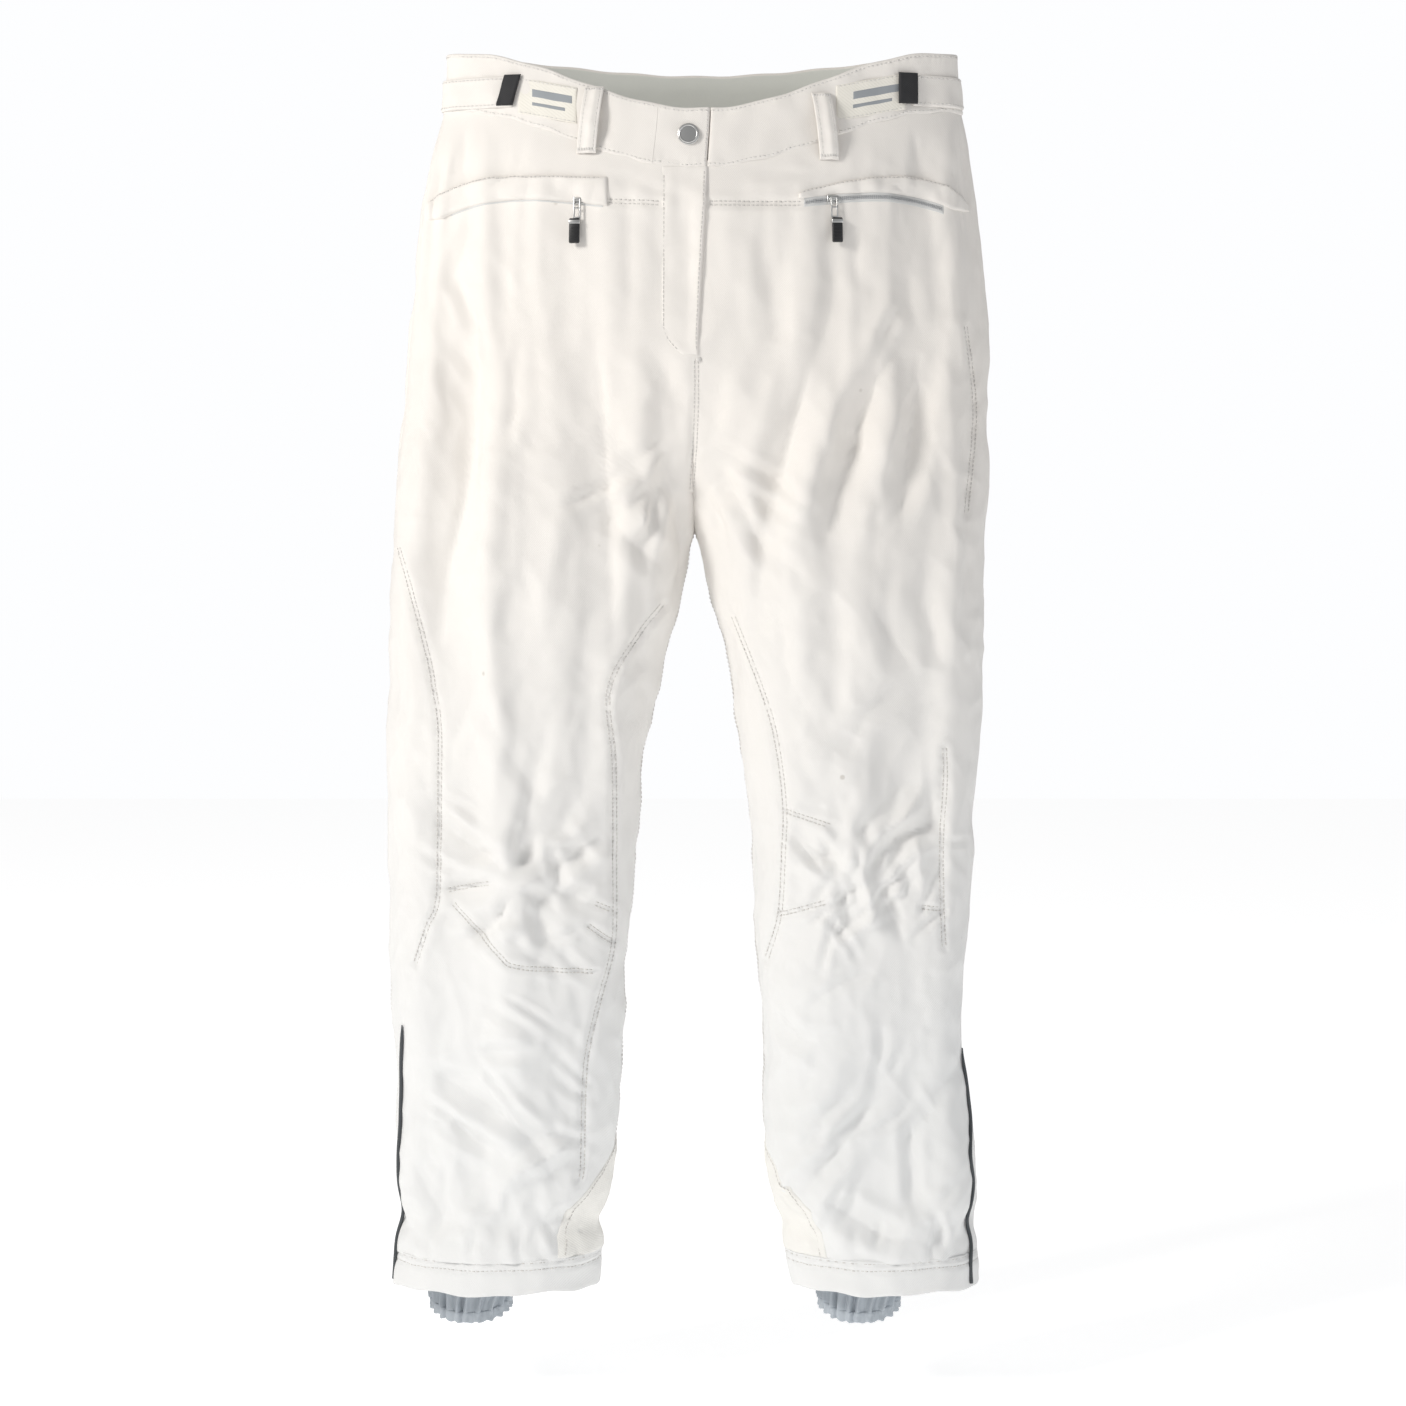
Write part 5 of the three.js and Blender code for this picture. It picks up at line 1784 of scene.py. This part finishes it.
def put(name, place, turn, offset=(0, 0, 0)):
    piece = bpy.context.object
    piece.name = name
    moved = Matrix.Translation(place + turn @ Vector(offset))
    piece.matrix_world = moved @ turn.to_4x4() @ Matrix.Diagonal((*piece.scale, 1))
    bpy.ops.object.transform_apply(location=True, rotation=True, scale=True)
    return piece


def bevel(piece, width, segments=3):
    modifier = piece.modifiers.new("edges", "BEVEL")
    modifier.width, modifier.segments = width, segments
    modifier.limit_method = "ANGLE"
    bpy.ops.object.modifier_apply(modifier=modifier.name)
    bpy.ops.object.shade_smooth_by_angle(angle=math.radians(40))


def block(name, place, turn, size, edge, material, offset=(0, 0, 0)):
    bpy.ops.object.select_all(action="DESELECT")
    bpy.ops.mesh.primitive_cube_add(size=1)
    bpy.context.object.scale = size
    piece = put(name, place, turn, offset)
    bevel(piece, edge)
    piece.data.materials.append(material)
    return piece


def disc(name, place, turn, radius, tall, edge, material, offset=(0, 0, 0), sides=64):
    bpy.ops.object.select_all(action="DESELECT")
    bpy.ops.mesh.primitive_cylinder_add(vertices=sides, radius=radius, depth=tall)
    piece = put(name, place, turn, offset)
    bevel(piece, edge, 4)
    piece.data.materials.append(material)
    return piece


def joined(name, pieces):
    bpy.ops.object.select_all(action="DESELECT")
    for piece in pieces:
        piece.select_set(True)
    bpy.context.view_layer.objects.active = pieces[0]
    bpy.ops.object.join()
    pieces[0].name = name
    return pieces[0]


print("the snap cap is", [round(1000 * float(v), 1) for v in lie_of("snap_cap")[2]], "mm")

# %% [markdown]
# The snap's cap is a stepped button: a flat disc, a crown on it and a rolled rim between them,
# made from two bevelled cylinders and a torus. The hidden halves keep their plain shape.

# %% Snap
place, turn, size = lie_of("snap_cap")
radius = size[0] / 2
cap = disc("snap", place, turn, radius, size[2] * 0.6, 0.0007, METAL, (0, 0, -size[2] * 0.1))
crown = disc("snap crown", place, turn, radius * 0.8, size[2] * 0.5, 0.0006, METAL, (0, 0, size[2] * 0.2))
bpy.ops.object.select_all(action="DESELECT")
bpy.ops.mesh.primitive_torus_add(major_radius=radius * 0.8, minor_radius=0.0008,
                                 major_segments=64, minor_segments=12)
rim = put("snap rim", place, turn, (0, 0, size[2] * 0.42))
rim.data.materials.append(METAL)
bpy.ops.object.shade_smooth()
cap = joined("snap", [cap, crown, rim])
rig.ride(cap, "waist_tab")
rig.replaces(cap, "snap_cap")
for node in ("snap_socket", "snap_stud", "fly_slider"):
    frame["nodes"][node].data.materials.clear()
    frame["nodes"][node].data.materials.append(METAL)
print("snap", round(2000 * radius, 1), "mm across")

# %% [markdown]
# A slider is a rounded body with a nose and a bridge. Its puller is a ladder-shaped wire link and
# a black moulded tag with grip ribs. Slider and puller move differently, so they stay apart.

# %% Zip sliders and pullers
for side in SIDES:
    place, turn, _ = lie_of(f"pocket_slider_{side}")
    body = block("body", place, turn, (0.0095, 0.0066, 0.0024), 0.0007, METAL)
    nose = disc("nose", place, turn, 0.0031, 0.0024, 0.0006, METAL, (0.0035, 0, 0), 32)
    bridge = block("bridge", place, turn, (0.0060, 0.0018, 0.0016), 0.0005, METAL, (-0.0004, 0, 0.0018))
    slider_piece = joined(f"zip_slider_{side}", [body, nose, bridge])
    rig.ride(slider_piece, f"pocket_slider_{side}")
    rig.replaces(slider_piece, f"pocket_slider_{side}")

    place, turn, size = lie_of(f"pocket_link_{side}")
    long = size[1]
    rails = [block("rail", place, turn, (0.0013, long, 0.0013), 0.0004, METAL, (s * 0.0024, 0, 0))
             for s in (-1, 1)]
    rails += [block("rung", place, turn, (0.0060, 0.0014, 0.0013), 0.0004, METAL, (0, s, 0))
              for s in (-long / 2 + 0.0007, 0.0, long / 2 - 0.0007)]
    link_piece = joined(f"puller_link_{side}", rails)
    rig.ride(link_piece, f"pocket_puller_{side}")
    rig.replaces(link_piece, f"pocket_link_{side}")

    place, turn, size = lie_of(f"pocket_tag_{side}")
    tag = block("tag", place, turn, (0.0088, size[1], 0.0030), 0.0011, BLACK)
    bar_rows = [block("grip", place, turn, (0.0058, 0.0010, 0.0008), 0.0003, BLACK,
                      (0, -size[1] * 0.3 + 0.0028 * k, 0.0017)) for k in range(4)]
    clasp = block("clasp", place, turn, (0.0094, 0.0032, 0.0036), 0.0006, METAL, (0, size[1] / 2 - 0.0030, 0))
    tag_piece = joined(f"puller_tag_{side}", [tag, clasp, *bar_rows])
    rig.ride(tag_piece, f"pocket_puller_{side}")
    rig.replaces(tag_piece, f"pocket_tag_{side}")
print("a puller's link is", round(1000 * float(long), 1), "mm long")

# %% [markdown]
# The hem is cloth turned up and held by two rows of stitches, which draw it in and pucker it.
# Its lower edge waves a little, as the cloth's weight pulls on it.

# %% Hems
hem_low, hem_high = (corner[2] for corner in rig.box("hem_band_right"))


def hem_shape(u, v):
    rows = np.exp(-((v - 0.72) / 0.05) ** 2) + np.exp(-((v - 0.92) / 0.05) ** 2)
    gather = 0.5 + 0.5 * np.sin(u * 300 + 3 * np.sin(u * 47))
    return -0.0011 * rows * (0.5 + gather) + 0.0008 * (1 - v)


def leg_hem(side):
    def hem_surface(u, v):
        turn = u * 360
        wave = 0.0012 * np.sin(np.radians(turn * 5 + 40)) + 0.0008 * np.sin(np.radians(turn * 11))
        return leg_point(side, turn, hem_low + wave * (1 - v) + (hem_high - hem_low) * v)

    hem = Sewing(f"hem_{side}", SHELL, CREASE, LINING)
    face = laid(hem, hem_surface, (0.46, hem_high - hem_low), (240, 16), -0.0020, 0.0014,
                bump=(0.0022, 0.022), ring=True, shape=hem_shape)
    u = np.linspace(0, 1, 720)
    for v_at in (0.72, 0.92):
        row_of_stitches(hem, face, u, v_at + 0 * u, 1)
    piece = hem.make()
    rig.ride(piece, f"shin_{side}")
    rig.replaces(piece, f"hem_band_{side}")


print("hems from", round(hem_low, 4), "to", round(hem_high, 4))

# %% [markdown]
# A tougher, creamier cloth guards the inner ankle from ski edges. It narrows to a point upwards,
# and is moved onto the folded shell point by point, so that no fold comes through it.

# %% Ankle patches


def ankle_patch(side):
    inner_turn = 0 if side == "right" else 180
    patch_low, patch_high = (corner[2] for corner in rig.box(f"scuff_guard_{side}"))

    def guard_surface(u, v):
        z = patch_low + 0.018 + (patch_high - patch_low - 0.018) * v
        half = np.interp(v, [0, 0.42, 1], [54, 50, 7])
        return pressed(leg_point(side, inner_turn + half * (2 * u - 1), z))

    guard = Sewing(f"ankle_patch_{side}", TOUGH, CREASE)
    face = laid(guard, guard_surface, (0.05, 0.1), (28, 40), -0.0004, 0.0008, bump=(0.0006, 0.015))
    v = np.linspace(0.02, 0.98, 160)
    for u_at in (0.05, 0.95):
        row_of_stitches(guard, face, u_at + 0 * v, v, 1)
    piece = guard.make()
    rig.ride(piece, f"shin_{side}")
    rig.replaces(piece, f"scuff_guard_{side}")


for side in SIDES:
    leg_hem(side)
    ankle_patch(side)
print("patches narrow from 54 to 7 degrees on each side of the inner seam")

# %% [markdown]
# Dark piping runs down the outer seam to the hem. Its line is drawn from the front, laid on the
# cloth and smoothed, and a round tube is swept along it with a taper at its upper end.

# %% Piping
PIPING = {
    "right": [(-250, -817), (-253, -850), (-252, -885), (-251, -915), (-253, -950), (-256, -979),
              (-262, -1008), (-263, -1040)],
    "left": [(216, -840), (218, -875), (224, -908), (221, -932), (228, -955), (227, -978),
             (231, -1000), (229, -1022), (230, -1040)],
}
PIPE_RADIUS, PIPE_SIDES = 0.0016, 12


def piping_line(side):
    """Points down the outer seam, close to the cloth, from the drawn line."""
    line = rounded(PIPING[side], 14) / 1000
    middle_line = []
    for x, z in line:
        right_x, left_x = (read(leg_levels, leg_rows[side], z, k) for k in (0, 1))
        share = np.clip((x - (right_x + left_x) / 2) / ((left_x - right_x) / 2), -0.985, 0.985)
        plain = leg_point(side, 360 - math.degrees(math.acos(share)), z)
        lift = np.array([np.sign(share) * 0.0009, -0.0012, 0])
        spot = pressed(plain) if z > hem_high + 0.004 else plain + lift
        middle_line.append(spot)
    middle_line = np.array(middle_line)
    for _ in range(26):
        middle_line[1:-1] = (middle_line[:-2] + 2 * middle_line[1:-1] + middle_line[2:]) / 4
    middle_line[:, 1] -= 0.0012
    middle_line[:, 0] += 0.0010 * (1 if side == "left" else -1)
    return middle_line


for side in SIDES:
    middle_line = piping_line(side)
    cord = Sewing(f"piping_cord_{side}", DARK)
    way = np.gradient(middle_line, axis=0)
    way /= np.linalg.norm(way, axis=1, keepdims=True)
    aside = np.cross(way, [0, -1, 0])
    aside /= np.linalg.norm(aside, axis=1, keepdims=True)
    front_way = np.cross(aside, way)
    angle = np.linspace(0, 2 * np.pi, PIPE_SIDES + 1)[None, :, None]
    taper = np.sin(np.pi * np.clip(np.linspace(0, 1, len(way)) * 6, 0, 0.5))
    radius = PIPE_RADIUS * (0.35 + 0.65 * taper)[:, None, None]
    spokes = np.cos(angle) * aside[:, None] + np.sin(angle) * front_way[:, None]
    tube = middle_line[:, None] + radius * spokes
    rows = tube.shape[0]
    number = np.arange(rows * PIPE_SIDES).reshape(rows, PIPE_SIDES)
    number = np.hstack([number, number[:, :1]])
    skin = quads(number)
    ends = [tuple(number[0, :PIPE_SIDES]), tuple(number[-1, :PIPE_SIDES][::-1])]
    cord.add(tube[:, :PIPE_SIDES].reshape(-1, 3), [tuple(q) for q in skin] + ends)
    piece = cord.make()
    bpy.ops.object.select_all(action="DESELECT")
    piece.select_set(True)
    bpy.context.view_layer.objects.active = piece
    bpy.ops.object.mode_set(mode="EDIT")
    bpy.ops.mesh.select_all(action="SELECT")
    bpy.ops.mesh.normals_make_consistent(inside=False)
    bpy.ops.object.mode_set(mode="OBJECT")
    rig.ride(piece, f"shin_{side}")
    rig.replaces(piece, f"piping_{side}")
print("piping", 2000 * PIPE_RADIUS, "mm thick")

# %% [markdown]
# The gaiter is cut as wide as the leg and drawn in by its elastic, so its pleats are deepest at
# the mouth and fade upwards. Their spacing is uneven, because cloth gathers unevenly.

# %% Snow gaiters
GAITER_EASE = 0.016            # the gaiter hangs this far inside the leg
GAITER_CUT = 0.46              # the width it is cut to before the elastic draws it in


def pleat(turn):
    a = np.radians(turn)
    return np.sin(a * 23 + 1.6 * np.sin(a * 3)) + 0.45 * np.sin(a * 41 + 2 * np.sin(a * 2) + 1)


def mouth_of(side):
    """The middle of a gaiter's mouth in x, and half its width and depth."""
    right, left, front, back = slice_box([f"gaiter_{side}"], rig.box(f"gaiter_{side}")[0][2] + 0.001)
    return (right + left) / 2, (left - right) / 2, (back - front) / 2


def snow_gaiter(side):
    low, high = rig.box(f"gaiter_{side}")[0][2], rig.box(f"gaiter_{side}")[1][2]
    mouth_x, half_x, half_y = mouth_of(side)

    def gaiter_surface(u, v):
        turn = (u * 360) % 360
        z = low + (high - low) * v
        share = ease(v * 1.08)
        right, left, deep_y = (read(leg_levels, leg_rows[side], z, column) for column in (0, 1, 3))
        leg_middle = (right + left) / 2
        centre_x = leg_middle + (mouth_x - leg_middle) * (1 - share)
        c, s = np.cos(np.radians(turn)), np.sin(np.radians(turn))
        a, b = (left - right) / 2 - GAITER_EASE, deep_y - GAITER_EASE
        deep = 0.0024 * (1 - 0.8 * share) * pleat(turn) - 0.0028 * (1 - share)
        x = centre_x + (half_x + (a - half_x) * share + deep) * c
        y = (half_y + (b - half_y) * share + deep) * s
        return np.stack([x, y, z + 0.009 * (1 - v) ** 2 * abs(c) ** 3], -1)

    gaiter = Sewing(f"snow_gaiter_{side}", GAITER, GAITER)
    laid(gaiter, gaiter_surface, (0.3, high - low), (420, 34), -0.0009, 0.0, bump=(0.0007, 0.012),
         ring=True, soft=0.0006)
    piece = gaiter.make()
    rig.ride(piece, f"shin_{side}")
    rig.replaces(piece, f"gaiter_{side}")
    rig.sheet(piece, flat=(GAITER_CUT, high - low), held="gathered", rests_on=[f"hem_{side}"])


print("gaiter mouth", round(2 * mouth_of("left")[1], 3), "by", round(2 * mouth_of("left")[2], 3))

# %% [markdown]
# The elastic is a casing sewn round the mouth. It follows the gaiter's pleats more flatly, with a
# small ruffle along its lower edge.

# %% Gaiter elastic


def gaiter_elastic(side):
    e_low, e_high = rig.box(f"gaiter_elastic_{side}")[0][2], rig.box(f"gaiter_elastic_{side}")[1][2]
    mouth_x, half_x, half_y = mouth_of(side)

    def elastic_surface(u, v):
        turn = (u * 360) % 360
        c, s = np.cos(np.radians(turn)), np.sin(np.radians(turn))
        deep = 0.0014 * pleat(turn) * (0.5 + abs(v - 0.5)) - 0.0034
        ruffle = 0.0007 * np.sin(np.radians(turn) * 23 + 2) * (1 - v)
        z = e_low + (e_high - e_low + 0.0008) * v + ruffle
        return np.stack([mouth_x + (half_x + deep) * c, (half_y + deep) * s, z + 0.009 * abs(c) ** 3], -1)

    elastic = Sewing(f"elastic_{side}", GAITER, CREASE)
    laid(elastic, elastic_surface, (0.3, e_high - e_low), (420, 8), -0.0014, 0.0008, ring=True, soft=0.0008)
    piece = elastic.make()
    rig.ride(piece, f"shin_{side}")
    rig.replaces(piece, f"gaiter_elastic_{side}")


for side in SIDES:
    snow_gaiter(side)
    gaiter_elastic(side)
print("gaiters are cut", GAITER_CUT, "m wide")

# %% [markdown]
# The four pieces of shell cloth bend at the hips and knees. Each is declared as a sheet with the
# size that it was cut to: the garment's girth there, and the length along its surface.

# %% Riding, bending and flat sizes
HIP_BEND = 0.110               # how far down the cloth takes to follow the thigh
KNEE_START, KNEE_END = -0.650, -0.780
for side in SIDES:
    upper, lower = made[side]
    x = float(leg_point(side, np.array(90.0), np.array(HIP_Z))[0])
    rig.blend(upper, "hips", f"thigh_{side}", (x, 0, HIP_Z), (x, 0, HIP_Z - HIP_BEND))
    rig.blend(lower, f"thigh_{side}", f"shin_{side}", (x, 0, KNEE_START), (x, 0, KNEE_END))
    plain = half_grid(side)
    split_coarse = split_row // 2
    for piece, part in ((upper, plain[: split_coarse + 1]), (lower, plain[split_coarse:])):
        across = np.linalg.norm(np.diff(part, axis=1), axis=2).sum(1)
        down = np.linalg.norm(np.diff(part, axis=0), axis=2).sum(0)
        below, next_to = part[1:, :-1] - part[:-1, :-1], part[:-1, 1:] - part[:-1, :-1]
        cut = np.linalg.norm(np.cross(below, next_to), axis=2).sum()
        flat = (float(across.max()), float(down.max()))
        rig.sheet(piece, flat=flat, held="hung", rests_on=["waistband_back_cloth"],
                 area=float(min(cut, flat[0] * flat[1])))
        print(piece.name, "cut", [round(f, 3) for f in flat], "area", round(float(cut), 3))

# %% [markdown]
# White cloth on white needs a soft key from one side to show its folds, a weak fill and a sky
# that is darker for the cloth than for the camera, so the background stays clean.

# %% Light
world = bpy.data.worlds.new("studio")
bpy.context.scene.world = world
world.use_nodes = True
background = world.node_tree.nodes["Background"]
background.inputs["Color"].default_value = (0.985, 0.99, 1.0, 1)
seen = world.node_tree.nodes.new("ShaderNodeLightPath")
level = world.node_tree.nodes.new("ShaderNodeMapRange")
level.inputs["To Min"].default_value = 0.37
level.inputs["To Max"].default_value = 1.0
world.node_tree.links.new(seen.outputs["Is Camera Ray"], level.inputs["Value"])
world.node_tree.links.new(level.outputs["Result"], background.inputs["Strength"])


def lamp(name, place, target, size, power, colour):
    light = bpy.data.lights.new(name, "AREA")
    light.shape = "RECTANGLE"
    light.size, light.size_y = size
    light.energy, light.color = power, colour
    holder = bpy.data.objects.new(name, light)
    holder.location = place
    holder.rotation_euler = (Vector(target) - Vector(place)).to_track_quat("-Z", "Y").to_euler()
    bpy.context.scene.collection.objects.link(holder)


lamp("key", (-2.0, -1.5, 0.9), (0, 0, -0.5), (0.6, 0.8), 50, (1.0, 0.975, 0.94))
lamp("fill", (2.2, -1.6, -0.3), (0, 0, -0.6), (1.4, 1.6), 8, (0.93, 0.96, 1.0))

print("lights", len(bpy.data.lights))

# %% [markdown]
# The floor lies below the hanging garment and is as bright as the sky, so that no horizon shows.
# It glows a little, because it lies outside the reach of the two lamps.

# %% Floor
BACKDROP = finish("pale backdrop", (0.90, 0.90, 0.90), 0.9)
backdrop_shader = BACKDROP.node_tree.nodes["Principled BSDF"]
backdrop_shader.inputs["Emission Color"].default_value = (1, 1, 1, 1)
backdrop_shader.inputs["Emission Strength"].default_value = 0.62
bpy.ops.object.select_all(action="DESELECT")
bpy.ops.mesh.primitive_plane_add(size=8, location=(0, 1.0, -1.14))
floor = bpy.context.object
floor.name = "floor"
floor.data.materials.append(BACKDROP)
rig.stage(floor)
print("floor at", round(floor.location.z, 2))

# %% [markdown]
# Last, the size of the finished looks is written beside the frame's own size, so that the two can
# be compared.

# %% Sizes and finish
with open("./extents.json", "w") as handle:
    json.dump({"cad": cad_box, "visual": [list(corner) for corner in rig.bounds()]}, handle)
print(open("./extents.json").read())
